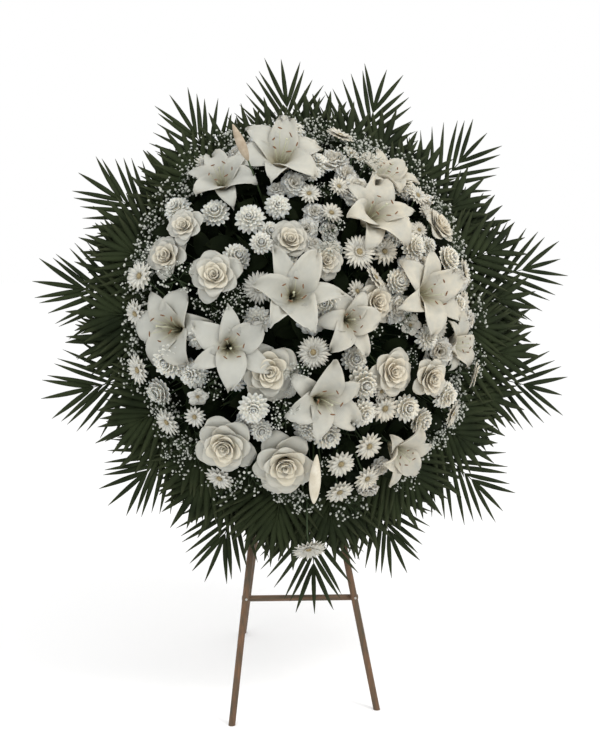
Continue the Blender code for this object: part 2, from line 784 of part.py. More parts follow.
LILIES = (
    ("lily_stem_top", (
        ("lily", -0.09, 0.44, 1.12, 0.02),
        ("lily", -0.24, 0.38, 0.9, 0.01),
        ("bud", -0.175, 0.39, 0.95, 0.045, (-0.6, 1.0, 0.0)),
    )),
    ("lily_stem_upper_right", (
        ("lily", 0.12, 0.27, 1.05, 0.03),
        ("lily", 0.19, 0.4, 0.85, 0.0),
    )),
    ("lily_stem_centre", (
        ("lily", -0.11, 0.08, 1.12, 0.05),
        ("lily", 0.03, 0.01, 0.9, 0.02),
    )),
    ("lily_stem_left", (
        ("lily", -0.39, 0.02, 1.1, 0.0),
        ("lily", -0.25, -0.04, 1.05, 0.04),
    )),
    ("lily_stem_right", (
        ("lily", 0.25, 0.08, 1.1, 0.03),
        ("lily", 0.38, -0.04, 0.8, -0.01),
    )),
    ("lily_stem_lower", (
        ("lily", -0.04, -0.17, 1.05, 0.04),
        ("bud", -0.052, -0.38, 1.2, 0.06, (0.1, 4.2, 0.5)),
    )),
    ("lily_stem_low_right", (
        ("lily", 0.19, -0.31, 0.85, 0.01),
    )),
)

ROSES = (
    ("rose_1", (
        ("rose", -0.17, -0.1, 0.064, 0.0),
    )),
    ("rose_2", (
        ("rose", -0.12, -0.32, 0.07, 0.0),
        ("rose", -0.26, -0.27, 0.064, 0.0),
    )),
    ("rose_3", (
        ("rose", -0.28, 0.13, 0.055, 0.0),
    )),
    ("rose_4", (
        ("rose", -0.38, 0.19, 0.046, 0.0),
        ("rose", -0.33, 0.25, 0.04, 0.018),
    )),
    ("rose_5", (
        ("rose", -0.1, 0.21, 0.044, 0.0),
        ("rose", -0.02, 0.16, 0.04, 0.0),
    )),
    ("rose_6", (
        ("rose", 0.11, 0.06, 0.05, -0.018),
        ("rose", 0.14, -0.11, 0.052, 0.0),
    )),
    ("rose_7", (
        ("rose", 0.32, 0.26, 0.045, 0.0),
        ("rose", 0.24, -0.125, 0.046, 0.018),
    )),
)

GERBERAS = (
    ("gerbera_1", (
        ("daisy", -0.18, 0.1, 0.044, -0.018),
        ("daisy", -0.06, -0.06, 0.044, 0.0),
    )),
    ("gerbera_2", (
        ("daisy", 0.07, 0.18, 0.046, 0.0),
        ("daisy", 0.15, 0.19, 0.04, -0.018),
    )),
    ("gerbera_low", (
        ("low", -0.04, -0.54, 0.045, 0.0),
    )),
)

SPRAYS = (
    ("spray_top", (
        ("pompon", -0.04, 0.54, 0.039, 0.0),
        ("daisy", 0.09, 0.51, 0.04, 0.0),
        ("pompon", 0.0, 0.43, 0.039, -0.018),
        ("daisy", -0.04, 0.33, 0.03, 0.0),
        ("daisy", 0.04, 0.35, 0.03, 0.0),
        ("daisy", 0.01, 0.28, 0.03, 0.0),
    )),
    ("spray_upper_left", (
        ("pompon", -0.27, 0.3, 0.039, -0.018),
        ("pompon", -0.35, 0.31, 0.039, 0.0),
        ("pompon", -0.19, 0.27, 0.039, 0.0),
        ("pompon", -0.17, 0.2, 0.03, 0.018),
        ("pompon", -0.12, 0.3, 0.034, 0.0),
    )),
    ("spray_left", (
        ("daisy", -0.425, 0.14, 0.04, 0.032),
        ("daisy", -0.46, -0.08, 0.04, 0.018),
        ("pompon", -0.42, -0.14, 0.039, -0.018),
        ("pompon", -0.345, -0.1, 0.039, -0.018),
        ("pompon", -0.19, 0.02, 0.036, 0.0),
    )),
    ("spray_lower_left", (
        ("daisy", -0.39, -0.21, 0.04, 0.0),
        ("daisy", -0.33, -0.2, 0.03, 0.0),
        ("daisy", -0.27, -0.36, 0.04, 0.0),
        ("pompon", -0.2, -0.18, 0.039, 0.032),
        ("pompon", -0.18, -0.24, 0.03, 0.0),
    )),
    ("spray_lower", (
        ("pompon", -0.02, -0.26, 0.039, 0.0),
        ("daisy", 0.09, -0.29, 0.04, 0.0),
        ("daisy", 0.02, -0.33, 0.04, 0.0),
        ("daisy", 0.1, -0.37, 0.04, 0.0),
        ("daisy", 0.03, -0.4, 0.04, 0.0),
        ("pompon", 0.07, -0.21, 0.039, 0.0),
        ("pompon", 0.05, -0.08, 0.036, -0.018),
    )),
    ("spray_right", (
        ("daisy", 0.41, 0.15, 0.04, 0.0),
        ("daisy", 0.42, 0.07, 0.04, -0.018),
        ("pompon", 0.32, 0.17, 0.039, 0.018),
        ("daisy", 0.25, 0.33, 0.032, 0.018),
        ("pompon", 0.23, 0.2, 0.039, 0.0),
        ("pompon", 0.17, 0.11, 0.036, 0.0),
    )),
    ("spray_lower_right", (
        ("daisy", 0.43, -0.12, 0.04, 0.018),
        ("pompon", 0.26, -0.24, 0.039, -0.018),
        ("pompon", 0.32, -0.17, 0.039, 0.0),
        ("daisy", 0.37, -0.22, 0.04, 0.0),
        ("pompon", 0.19, -0.2, 0.039, 0.0),
        ("pompon", 0.25, -0.03, 0.034, 0.0),
    )),
)

BREATH = (
    ("babys_breath_left", (
        ("umbel", -0.42, 0.2, 0.044, 0.018),
        ("umbel", -0.36, 0.13, 0.044, 0.032),
        ("umbel", -0.24, 0.05, 0.04, 0.02),
    )),
    ("babys_breath_right", (
        ("umbel", 0.36, 0.3, 0.044, 0.018),
        ("umbel", 0.37, 0.22, 0.044, 0.018),
        ("umbel", 0.41, -0.17, 0.044, -0.018),
        ("umbel", 0.18, 0.46, 0.044, 0.0),
    )),
    ("babys_breath_low", (
        ("umbel", -0.34, -0.285, 0.044, 0.0),
        ("umbel", -0.2, -0.35, 0.044, 0.018),
        ("umbel", -0.13, -0.2, 0.04, 0.052),
        ("umbel", 0.28, -0.32, 0.044, 0.0),
        ("umbel", -0.05, -0.43, 0.044, 0.0),
    )),
)


def make_flowers(wreath):
    white = material("lily_white", (0.72, 0.72, 0.69), 0.5)
    cream = material("rose_cream", (0.75, 0.70, 0.60), 0.55)
    petal = material("daisy_white", (0.76, 0.74, 0.68), 0.55)
    for name, heads in LILIES:
        plant(name, heads, white, wreath)
    for name, heads in ROSES:
        plant(name, heads, cream, wreath)
    for name, heads in GERBERAS:
        plant(name, heads, petal, wreath)
    for name, heads in SPRAYS:
        plant(name, heads, petal, wreath)
    breath = material("babys_breath", (0.62, 0.64, 0.56), 0.7)
    for name, heads in BREATH:
        plant(name, heads, breath, wreath)


def main():
    clear_scene()
    make_easel()
    wreath = bpy.data.objects.new("wreath_frame", None)
    bpy.context.scene.collection.objects.link(wreath)
    out = LEG_RADIUS + GAP + CLEAT_THICK + GAP + BOARD_THICK
    wreath.location = in_easel(WREATH_ASIDE, WREATH_UP, out)
    wreath.rotation_euler = (math.pi / 2 - LEAN, 0, 0)
    bpy.context.view_layer.update()
    make_backing(wreath)
    make_fronds(wreath)
    make_flowers(wreath)
    make_foam(wreath, HOLES)


main()
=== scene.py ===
# %% [markdown]
# # A standing wreath of white flowers and palm fronds
# This lesson dresses a plain CAD model of a funeral wreath on an easel. The CAD model fixes where every
# stem, frond and pole is. The script loads it as a frame, then grows finer petals and leaves in the same
# places, fills the gaps between them, and gives each surface a material made only of nodes.

# %% Load the frame
import math
import random

import bmesh
import bpy
from mathutils import Matrix, Vector, noise


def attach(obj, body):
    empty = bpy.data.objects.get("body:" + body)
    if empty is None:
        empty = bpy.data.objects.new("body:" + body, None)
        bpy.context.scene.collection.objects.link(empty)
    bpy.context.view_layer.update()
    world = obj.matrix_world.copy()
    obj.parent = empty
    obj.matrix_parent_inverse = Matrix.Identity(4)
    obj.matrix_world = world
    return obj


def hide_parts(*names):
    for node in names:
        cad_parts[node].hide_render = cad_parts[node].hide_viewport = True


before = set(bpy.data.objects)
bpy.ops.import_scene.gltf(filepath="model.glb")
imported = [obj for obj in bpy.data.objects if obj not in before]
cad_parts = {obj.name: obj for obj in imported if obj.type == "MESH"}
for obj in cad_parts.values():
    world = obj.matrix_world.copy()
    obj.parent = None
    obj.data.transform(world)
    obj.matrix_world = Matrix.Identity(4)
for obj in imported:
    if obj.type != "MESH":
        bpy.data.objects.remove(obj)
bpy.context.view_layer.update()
BODY = "wreath_and_front_legs"
print("frame:", len(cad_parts), "nodes")

# %% [markdown]
# The flowers are arranged on a board that leans back with the easel. It is simplest to place them in the
# board's own frame, with x to the right, y up the lean and z out of the wreath, and to turn each finished
# piece into the room at the end. The dome is half of a flattened egg: a flower at (x, y) sits on it and
# faces straight out of it.

# %% Places on the leaning wreath
LEAN = math.radians(10)
FEET_SPREAD = 0.70
WREATH_ASIDE, WREATH_UP, WREATH_OUT = 0.03, 0.985, 0.0364
DOME_MIDDLE = Vector((-0.01, 0.045, 0.050))
DOME_SIZE = Vector((0.46, 0.50, 0.25))
DOME_EDGE = 0.965  # nothing stands further out on the dome, where it grows too steep
WREATH_PLACE = Vector(
    (
        WREATH_ASIDE,
        WREATH_UP * math.sin(LEAN) - WREATH_OUT * math.cos(LEAN) - FEET_SPREAD,
        WREATH_UP * math.cos(LEAN) + WREATH_OUT * math.sin(LEAN),
    )
)
WREATH = Matrix.Translation(WREATH_PLACE) @ Matrix.Rotation(math.pi / 2 - LEAN, 4, "X")


def dome_place(x, y, lift=0.0):
    """The spot on the dome in front of (x, y), and the way out of the dome there."""
    across = (x - DOME_MIDDLE.x) / DOME_SIZE.x
    up = (y - DOME_MIDDLE.y) / DOME_SIZE.y
    out = math.hypot(across, up)
    if out > DOME_EDGE:
        across, up = across * DOME_EDGE / out, up * DOME_EDGE / out
        out = DOME_EDGE
    ahead = math.sqrt(1 - out * out)
    spot = DOME_MIDDLE + Vector((across * DOME_SIZE.x, up * DOME_SIZE.y, ahead * DOME_SIZE.z))
    normal = Vector((across / DOME_SIZE.x, up / DOME_SIZE.y, ahead / DOME_SIZE.z)).normalized()
    return spot + normal * lift, normal


def facing(spot, axis, spin=0.0, size=1.0):
    """A matrix that stands a flower on a spot, facing along the axis."""
    turn = axis.to_track_quat("Z", "Y").to_matrix().to_4x4()
    return Matrix.Translation(spot) @ turn @ Matrix.Rotation(spin, 4, "Z") @ Matrix.Scale(size, 4)


print("the wreath's middle:", [round(v, 3) for v in WREATH_PLACE])

# %% [markdown]
# The camera stands where the photographer's did: a little left of the wreath, at chest height. The sensor
# width counts along the picture's long side, which is its height here.

# %% Camera
CAMERA_PLACE = Vector((-0.844, -3.597, 1.24))
CAMERA_AIM = Vector((0, -0.51, 0.869))
camera_data = bpy.data.cameras.new("camera")
camera_data.sensor_width = 36
camera_data.lens = 57.65
camera_data.shift_x = 0.0183
camera = bpy.data.objects.new("camera", camera_data)
bpy.context.scene.collection.objects.link(camera)
camera.location = CAMERA_PLACE
camera.rotation_euler = (CAMERA_AIM - CAMERA_PLACE).to_track_quat("-Z", "Y").to_euler()
bpy.context.scene.camera = camera

# %% [markdown]
# Petals, leaves and wood all need the same two effects: soft blotches, so that no surface is one flat
# colour, and fine streaks along the grain or the veins. Each is a node group that is built once and then
# used with different values.

# %% Shared effects


def new_group(name, inputs, outputs):
    group = bpy.data.node_groups.new(name, "ShaderNodeTree")
    for label, value in inputs:
        kind = "NodeSocketVector" if isinstance(value, tuple) else "NodeSocketFloat"
        socket = group.interface.new_socket(label, in_out="INPUT", socket_type=kind)
        socket.default_value = value
    for label in outputs:
        group.interface.new_socket(label, in_out="OUTPUT", socket_type="NodeSocketFloat")
    start = group.nodes.new("NodeGroupInput")
    end = group.nodes.new("NodeGroupOutput")
    return group, start, end


def node(tree, kind, **values):
    made = tree.nodes.new(kind)
    for label, value in values.items():
        if label in made.bl_rna.properties:
            setattr(made, label, value)
        else:
            made.inputs[label.replace("_", " ")].default_value = value
    return made


def contrasted(tree, mask, contrast):
    """Spreads a noise further from its middle, and keeps it between 0 and 1."""
    centred = node(tree, "ShaderNodeMath", operation="SUBTRACT")
    centred.inputs[1].default_value = 0.5
    spread = node(tree, "ShaderNodeMath", operation="MULTIPLY_ADD", use_clamp=True)
    spread.inputs[2].default_value = 0.5
    tree.links.new(mask, centred.inputs[0])
    tree.links.new(centred.outputs[0], spread.inputs[0])
    tree.links.new(contrast, spread.inputs[1])
    return spread.outputs[0]


blotches, blotch_in, blotch_out = new_group("blotches", (("Size", 40.0), ("Contrast", 1.0)), ("Mask",))
place = node(blotches, "ShaderNodeTexCoord")
cloud = node(blotches, "ShaderNodeTexNoise", Detail=3.0, Roughness=0.6)
blotches.links.new(place.outputs["Object"], cloud.inputs["Vector"])
blotches.links.new(blotch_in.outputs["Size"], cloud.inputs["Scale"])
patchy = contrasted(blotches, cloud.outputs["Fac"], blotch_in.outputs["Contrast"])
blotches.links.new(patchy, blotch_out.inputs["Mask"])

veins, vein_in, vein_out = new_group("veins", (("Count", 14.0), ("Wander", 1.5)), ("Mask",))
own = node(veins, "ShaderNodeUVMap", uv_map="petal")
stretch = node(veins, "ShaderNodeMapping")
stretch.inputs["Scale"].default_value = (1.0, 0.08, 1.0)
line = node(veins, "ShaderNodeTexWave", wave_profile="SIN", Detail=2.0)
veins.links.new(own.outputs["UV"], stretch.inputs["Vector"])
veins.links.new(stretch.outputs["Vector"], line.inputs["Vector"])
veins.links.new(vein_in.outputs["Count"], line.inputs["Scale"])
veins.links.new(vein_in.outputs["Wander"], line.inputs["Distortion"])
veins.links.new(line.outputs["Fac"], vein_out.inputs["Mask"])

grain_inputs = (("Size", 30.0), ("Contrast", 1.4), ("Stretch", (5.0, 5.0, 0.3)))
grain, grain_in, grain_out = new_group("grain", grain_inputs, ("Mask",))
wood_place = node(grain, "ShaderNodeTexCoord")
along = node(grain, "ShaderNodeVectorMath", operation="MULTIPLY")
fibre = node(grain, "ShaderNodeTexNoise", Detail=6.0, Roughness=0.65)
grain.links.new(wood_place.outputs["Object"], along.inputs[0])
grain.links.new(grain_in.outputs["Stretch"], along.inputs[1])
grain.links.new(along.outputs["Vector"], fibre.inputs["Vector"])
grain.links.new(grain_in.outputs["Size"], fibre.inputs["Scale"])
streaky = contrasted(grain, fibre.outputs["Fac"], grain_in.outputs["Contrast"])
grain.links.new(streaky, grain_out.inputs["Mask"])
print("effects:", [group.name for group in bpy.data.node_groups])

# %% [markdown]
# A finish starts as a plain shader. The helper below mixes two colours by an effect's mask, and feeds a
# second effect to a bump, which is enough for every plant and for the wood.

# %% How a finish is built


def effect(tree, group, **values):
    made = tree.nodes.new("ShaderNodeGroup")
    made.node_tree = group
    for label, value in values.items():
        made.inputs[label].default_value = value
    return made.outputs["Mask"]


def mixed(tree, mask, first, second):
    """A colour between two others. Each is a colour, or the output of another node."""
    mix = node(tree, "ShaderNodeMix", data_type="RGBA")
    tree.links.new(mask, mix.inputs["Factor"])
    for slot, colour in ((6, first), (7, second)):
        if isinstance(colour, tuple):
            mix.inputs[slot].default_value = (*colour, 1)
        else:
            tree.links.new(colour, mix.inputs[slot])
    return mix.outputs[2]


def ramp(tree, value, low, high):
    """A mask that rises from 0 to 1 as the value goes from low to high."""
    made = node(tree, "ShaderNodeMapRange", interpolation_type="SMOOTHSTEP")
    made.inputs["From Min"].default_value = low
    made.inputs["From Max"].default_value = high
    tree.links.new(value, made.inputs["Value"])
    return made.outputs["Result"]


def finish(name, roughness, metallic=0.0, specular=0.5, soft=0.0):
    made = bpy.data.materials.new(name)
    made.use_nodes = True
    shader = made.node_tree.nodes["Principled BSDF"]
    shader.inputs["Roughness"].default_value = roughness
    shader.inputs["Metallic"].default_value = metallic
    shader.inputs["Specular IOR Level"].default_value = specular
    if soft:
        shader.inputs["Subsurface Weight"].default_value = soft
        shader.inputs["Subsurface Radius"].default_value = (0.009, 0.0075, 0.006)
        shader.inputs["Subsurface Scale"].default_value = 1.0
    return made, made.node_tree, shader


def bumped(tree, shader, mask, strength, distance):
    bump = node(tree, "ShaderNodeBump", Strength=strength, Distance=distance)
    tree.links.new(mask, bump.inputs["Height"])
    tree.links.new(bump.outputs["Normal"], shader.inputs["Normal"])


# %% [markdown]
# White flowers are never one white. Each petal is greener or warmer where it leaves the flower's heart.
# The flowers on the right of this wreath are painted a warmer, lighter white than those on the left. This is
# partly their own cream and partly a painted pool of the warm light from the right, with painted shade on the
# left. The petal's own UV map runs from its root at v = 0 to its tip at v = 1, and the side to side change
# reads the object's coordinates.

# %% Petal finishes
# Between these two places across the room, the petals go from cool white with painted shade to cream with
# painted warm light.
COOL_SHADED_SIDE, WARM_LIT_SIDE = -0.16, 0.22  # x in the room


def petal_finish(name, cool_shaded, warm_lit, root, root_ends, veins_seen, soft):
    """root_ends is how far up the petal the root's tint reaches."""
    made, tree, shader = finish(name, 0.6, specular=0.25, soft=soft)
    room = node(tree, "ShaderNodeTexCoord")
    split = node(tree, "ShaderNodeSeparateXYZ")
    tree.links.new(room.outputs["Object"], split.inputs[0])
    # The side to side mix holds the flowers' own tint, with painted warm light on the right and painted shade
    # on the left.
    side = mixed(tree, ramp(tree, split.outputs["X"], COOL_SHADED_SIDE, WARM_LIT_SIDE), cool_shaded, warm_lit)
    dull = tuple(v * 0.86 for v in cool_shaded)
    worn = mixed(tree, effect(tree, blotches, Size=26.0, Contrast=2.2), dull, side)
    own_map = node(tree, "ShaderNodeUVMap", uv_map="petal")
    flat = node(tree, "ShaderNodeSeparateXYZ")
    tree.links.new(own_map.outputs["UV"], flat.inputs[0])
    coloured = mixed(tree, ramp(tree, flat.outputs["Y"], 0.0, root_ends), root, worn)
    tree.links.new(coloured, shader.inputs["Base Color"])
    bumped(tree, shader, effect(tree, veins, Count=veins_seen, Wander=1.2), 0.25, 0.0008)
    return made


# Each look gives the cool white of the left with its painted shade, the warm white of the right with its
# painted warm light, the root's tint and how far up it reaches, the veins seen and the softness.
PETAL_LOOKS = {
    "lily_petal": ((0.455, 0.452, 0.402), (0.56, 0.51, 0.405), (0.43, 0.375, 0.235), 0.50, 7.0, 0.25),
    "rose_petal": ((0.50, 0.485, 0.42), (0.60, 0.535, 0.415), (0.51, 0.45, 0.33), 0.6, 9.0, 0.45),
    "rose_heart": ((0.61, 0.56, 0.445), (0.67, 0.575, 0.43), (0.55, 0.45, 0.30), 0.7, 9.0, 0.45),
    "daisy_petal": ((0.55, 0.54, 0.48), (0.65, 0.585, 0.46), (0.50, 0.45, 0.32), 0.35, 5.0, 0.35),
    "mum_petal": ((0.70, 0.69, 0.61), (0.79, 0.71, 0.565), (0.67, 0.61, 0.47), 0.4, 4.0, 0.7),
}
PETALS = [petal_finish(name, *looks) for name, looks in PETAL_LOOKS.items()]
print("petal finishes:", [paint.name for paint in PETALS])

# %% [markdown]
# The palm is almost black-green in the hollows and olive where it catches the light. Its leaflets have
# fine ribs along them, so the same veins run over their UV map. The disc of a daisy, the anthers of a
# lily, the buds and the tiny blossoms of baby's breath are small, so blotches alone are enough.

# %% Leaf, disc and stalk finishes


def plain_finish(name, first, second, roughness, size, contrast=2.0, specular=0.3, bump=0.0004):
    made, tree, shader = finish(name, roughness, specular=specular)
    mask = effect(tree, blotches, Size=size, Contrast=contrast)
    tree.links.new(mixed(tree, mask, first, second), shader.inputs["Base Color"])
    bumped(tree, shader, mask, 0.5, bump)
    return made


def leaf_finish(name, dark, light, edge, count, shine):
    made, tree, shader = finish(name, 0.6, specular=shine)
    patchy = mixed(tree, effect(tree, blotches, Size=9.0, Contrast=3.0), dark, light)
    ribbed = effect(tree, veins, Count=count, Wander=0.4)
    own_map = node(tree, "ShaderNodeUVMap", uv_map="petal")
    flat = node(tree, "ShaderNodeSeparateXYZ")
    tree.links.new(own_map.outputs["UV"], flat.inputs[0])
    tipped = mixed(tree, ramp(tree, flat.outputs["Y"], 0.55, 1.0), patchy, edge)
    tree.links.new(tipped, shader.inputs["Base Color"])
    bumped(tree, shader, ribbed, 0.5, 0.0007)
    return made


PALM_GREENS = ((0.008, 0.0135, 0.004), (0.025, 0.035, 0.013), (0.034, 0.042, 0.018))
# The filler leaves are nearly black: their own dark green, with the painted shade of the gaps they fill.
SHADED_LEAF_GREENS = ((0.003, 0.005, 0.002), (0.007, 0.011, 0.004), (0.010, 0.014, 0.006))
palm_leaf = leaf_finish("palm_leaf", *PALM_GREENS, 6.0, 0.11)
shaded_filler_leaf = leaf_finish("shaded_filler_leaf", *SHADED_LEAF_GREENS, 5.0, 0.03)
stalk = plain_finish("stalk", (0.018, 0.034, 0.011), (0.040, 0.062, 0.024), 0.6, 60.0)
disc = plain_finish("disc", (0.17, 0.125, 0.06), (0.36, 0.30, 0.17), 0.8, 500.0, 4.0, bump=0.0012)
anther = plain_finish("anther", (0.10, 0.045, 0.020), (0.22, 0.11, 0.05), 0.8, 300.0, 3.0)
thread = plain_finish("thread", (0.38, 0.39, 0.26), (0.48, 0.48, 0.36), 0.5, 80.0)
bud_skin = plain_finish("bud_skin", (0.50, 0.45, 0.34), (0.64, 0.60, 0.50), 0.55, 45.0, 2.5)
brown_bud = plain_finish("brown_bud", (0.27, 0.21, 0.14), (0.44, 0.37, 0.28), 0.55, 45.0, 2.5)
blossom = plain_finish("blossom", (0.34, 0.36, 0.32), (0.55, 0.56, 0.51), 0.7, 120.0, 2.0)
PAINTS = [*PETALS, palm_leaf, shaded_filler_leaf, stalk, disc, anther, thread, bud_skin, brown_bud, blossom]
LILY, ROSE, HEART, DAISY, MUM, PALM, LEAF, STALK, DISC, ANTHER, THREAD, BUD, BROWN, BLOSSOM = range(14)

# %% [markdown]
# Every petal and leaf starts as the same thing: a flat grid. Its rows follow a curve that leaves the
# flower at one angle and bends to another, its columns spread to the petal's outline, and the two sides
# curl up into a cup. `wrap` rolls the petal round the flower's axis, as the inner petals of a rose do.
# Solidify then gives the sheet two faces and a rim.

# %% One petal


def pointed(v):
    return math.sin(math.pi * min(v * 0.93 + 0.05, 0.985)) ** 0.8


def rounded(v):
    return 0.35 + 0.65 * math.sin(math.pi * min(v * 0.80 + 0.05, 1.0)) if v < 0.97 else 0.52


def strap(v):
    return (0.55 + 0.45 * math.sin(math.pi * min(v + 0.12, 1.0) ** 1.2)) * (1 if v < 0.9 else 0.55)


def bent_path(long, rise, bend, power, rows):
    """Points (out, up, slope) along a curve whose slope goes from rise to rise + bend."""
    out = up = 0.0
    path = [(out, up, rise)]
    fine = 6
    for step in range(1, rows * fine + 1):
        slope = rise + bend * (step / (rows * fine)) ** power
        out += math.cos(slope) * long / (rows * fine)
        up += math.sin(slope) * long / (rows * fine)
        if step % fine == 0:
            path.append((out, up, slope))
    return path


def flat_grid(bm, paint, columns, rows):
    """A square sheet from -1 to 1, painted, with its UV map from 0 to 1."""
    uv = bm.loops.layers.uv["petal"]
    verts = bmesh.ops.create_grid(bm, x_segments=columns, y_segments=rows, size=1.0)["verts"]
    faces = list({face for vert in verts for face in vert.link_faces})
    for face in faces:
        face.material_index = paint
        face.smooth = True
        for loop in face.loops:
            loop[uv].uv = ((loop.vert.co.x + 1) / 2, (loop.vert.co.y + 1) / 2)
    return verts, faces


def petal(bm, turn, paint, long, half, rise, bend, shape, **more):
    """Adds one petal, and gives its UV map the root at v = 0."""
    rows, columns = more.get("rows", 5), more.get("columns", 2)
    start, up, wrap = more.get("start", 0.0), more.get("up", 0.0), more.get("wrap", 0.0)
    cup, ruffle, phase = more.get("cup", 0.0), more.get("ruffle", 0.0), more.get("phase", 0.0)
    tip, frill = more.get("tip", 0.08), more.get("frill", 0.0)
    verts, faces = flat_grid(bm, paint, columns, rows)
    path = bent_path(long, math.radians(rise), math.radians(bend), more.get("power", 1.3), rows)
    for vert in verts:
        u, v = vert.co.x, (vert.co.y + 1) / 2
        out, height, slope = path[round(v * rows)]
        out += start
        wide = u * half * shape(v)
        lift = cup * half * u * u * math.sin(math.pi * (0.15 + 0.7 * v))
        lift += ruffle * half * abs(u) * math.sin(7 * v + 3 * u + phase) * v
        lift += frill * half * math.sin(10 * u + phase) * v**3
        back = tip * long * u * u * v**3
        out, height = out - math.cos(slope) * back, height - math.sin(slope) * back
        flat = Vector((out - math.sin(slope) * lift, wide, up + height + math.cos(slope) * lift))
        if wrap:
            round_it = wide / max(out, 0.12 * half)
            rolled = Vector((out * math.cos(round_it), out * math.sin(round_it), up + height))
            flat = flat.lerp(rolled, wrap)
        vert.co = turn @ flat
    known = set(bm.faces)
    for face in faces:
        face.normal_update()
    bmesh.ops.solidify(bm, geom=faces, thickness=more["thick"])
    faces += set(bm.faces) - known
    for face in faces:
        face.material_index = paint
        face.smooth = True


def ring(bm, count, paint, long, half, rise, bend, shape, offset=0.0, **more):
    """A whorl of petals. A seeded wobble keeps any two from being alike."""
    for k in range(count):
        wobble = noise.noise(Vector((k * 1.7, offset * 3.1 + count, long * 20))) * more.get("wobble", 1.0)
        turn = Matrix.Rotation(math.tau * (k + offset) / count + wobble * 0.10, 4, "Z")
        petal(bm, turn, paint, long * (1 + 0.10 * wobble), half, rise + 9 * wobble, bend - 12 * wobble,
              shape, phase=k * 2.1 + offset, **more)


def start_piece():
    bm = bmesh.new()
    bm.loops.layers.uv.new("petal")
    return bm


# %% [markdown]
# Stems and stalks are thin tubes: a small circle is extruded from point to point. Round things such as
# buds, discs and anthers start as a sphere that is then stretched.

# %% Tubes and beads


def tube(bm, points, radii, paint, sides=5):
    """A tube through the points, closed at both ends."""
    old = set(bm.faces)
    circle = bmesh.ops.create_circle(bm, cap_ends=True, segments=sides, radius=1.0)["verts"]
    edges = list({edge for vert in circle for edge in vert.link_edges})
    place = None
    for index, point in enumerate(points):
        ahead = points[min(index + 1, len(points) - 1)] - points[max(index - 1, 0)]
        here = facing(point, ahead.normalized()) @ Matrix.Scale(radii[index], 4)
        if place is None:
            bmesh.ops.transform(bm, matrix=here, verts=circle)
        else:
            grown = bmesh.ops.extrude_edge_only(bm, edges=edges)["geom"]
            moved = [item for item in grown if isinstance(item, bmesh.types.BMVert)]
            edges = [item for item in grown if isinstance(item, bmesh.types.BMEdge)]
            bmesh.ops.transform(bm, matrix=here @ place.inverted(), verts=moved)
        place = here
    bmesh.ops.holes_fill(bm, edges=edges, sides=sides)
    made = list(set(bm.faces) - old)
    for face in made:
        face.material_index = paint
        face.smooth = True
    bmesh.ops.recalc_face_normals(bm, faces=made)


def bead(bm, matrix, paint, around=8, along=5):
    """A unit sphere put in place by the matrix."""
    made = bmesh.ops.create_uvsphere(bm, u_segments=around, v_segments=along, radius=1.0, matrix=matrix)
    verts = made["verts"]
    for face in {face for vert in verts for face in vert.link_faces}:
        face.material_index = paint
        face.smooth = True
    return verts


def grain_bead(bm, matrix, paint):
    """A bead of twenty faces, for what is repeated hundreds of times."""
    verts = bmesh.ops.create_icosphere(bm, subdivisions=1, radius=1.0, matrix=matrix)["verts"]
    for face in {face for vert in verts for face in vert.link_faces}:
        face.material_index = paint
        face.smooth = True


# %% [markdown]
# A head is modelled once, at the spot (0, 0, 0) and facing +Z, and then stamped wherever it grows. Three
# kinds need several versions, so that neighbours differ. The oriental lily has three broad and three
# narrow petals that leave a narrow throat, open wide and roll back, with six stamens round a long pistil.

# %% The lily


def keep(bm, name):
    """Turns a finished head into a mesh that can be stamped."""
    mesh = bpy.data.meshes.new(name)
    bm.to_mesh(mesh)
    bm.free()
    print(name, len(mesh.polygons), "faces")
    return mesh


def make_lily(seed, opening=1.0):
    bm = start_piece()
    chance = random.Random(seed)
    foot = -0.070
    for k in range(6):
        broad = k % 2 == 0
        turn = Matrix.Rotation(math.tau * k / 6 + chance.uniform(-0.08, 0.08), 4, "Z")
        petal(bm, turn, LILY, 0.138 + chance.uniform(-0.008, 0.004), 0.036 if broad else 0.026,
              75 + chance.uniform(-6, 4), -118 * opening + chance.uniform(-34, 22), pointed, power=1.9, rows=10,
              columns=6 if broad else 4, start=0.005 if broad else 0.007, up=foot - (0.0 if broad else 0.0016),
              cup=chance.uniform(0.15, 0.5), ruffle=0.32, phase=chance.uniform(0, 6), thick=0.0008, wrap=0.12)
    for k in range(6):
        turn = Matrix.Rotation(math.tau * (k + 0.5) / 6, 4, "Z")
        reach = chance.uniform(0.020, 0.030)
        tip = turn @ Vector((reach, 0, 0.018 + chance.uniform(-0.004, 0.004)))
        route = [turn @ Vector((0.003, 0, foot + 0.004)), turn @ Vector((reach * 0.5, 0, -0.02)), tip]
        tube(bm, route, (0.0012, 0.0009, 0.0007), THREAD, 4)
        across = turn @ Vector((0.3, 1, 0.3))
        bead(bm, facing(tip, across.normalized()) @ Matrix.Diagonal((0.0017, 0.0017, 0.0062, 1)), ANTHER, 6, 4)
    tube(bm, [Vector((0, 0, foot)), Vector((0.002, 0, -0.02)), Vector((0.006, 0, 0.026))],
         (0.0022, 0.0014, 0.0012), THREAD, 5)
    bead(bm, Matrix.Translation((0.0063, 0, 0.0265)) @ Matrix.Diagonal((0.003, 0.003, 0.002, 1)), THREAD, 6, 4)
    return keep(bm, f"lily_head_{seed}")


HEADS = {"lily": [make_lily(1), make_lily(2, 1.12), make_lily(3, 0.86), make_lily(4, 1.25)]}

# %% [markdown]
# A rose grows as a spiral: each petal stands about 137 degrees on from the last. The first ones are
# short, upright and rolled tightly round the middle, and the last ones are wide and lie open, with their
# rims rolled back. So one loop from the heart outwards makes the whole flower.

# %% The rose
GOLDEN = math.radians(137.5)


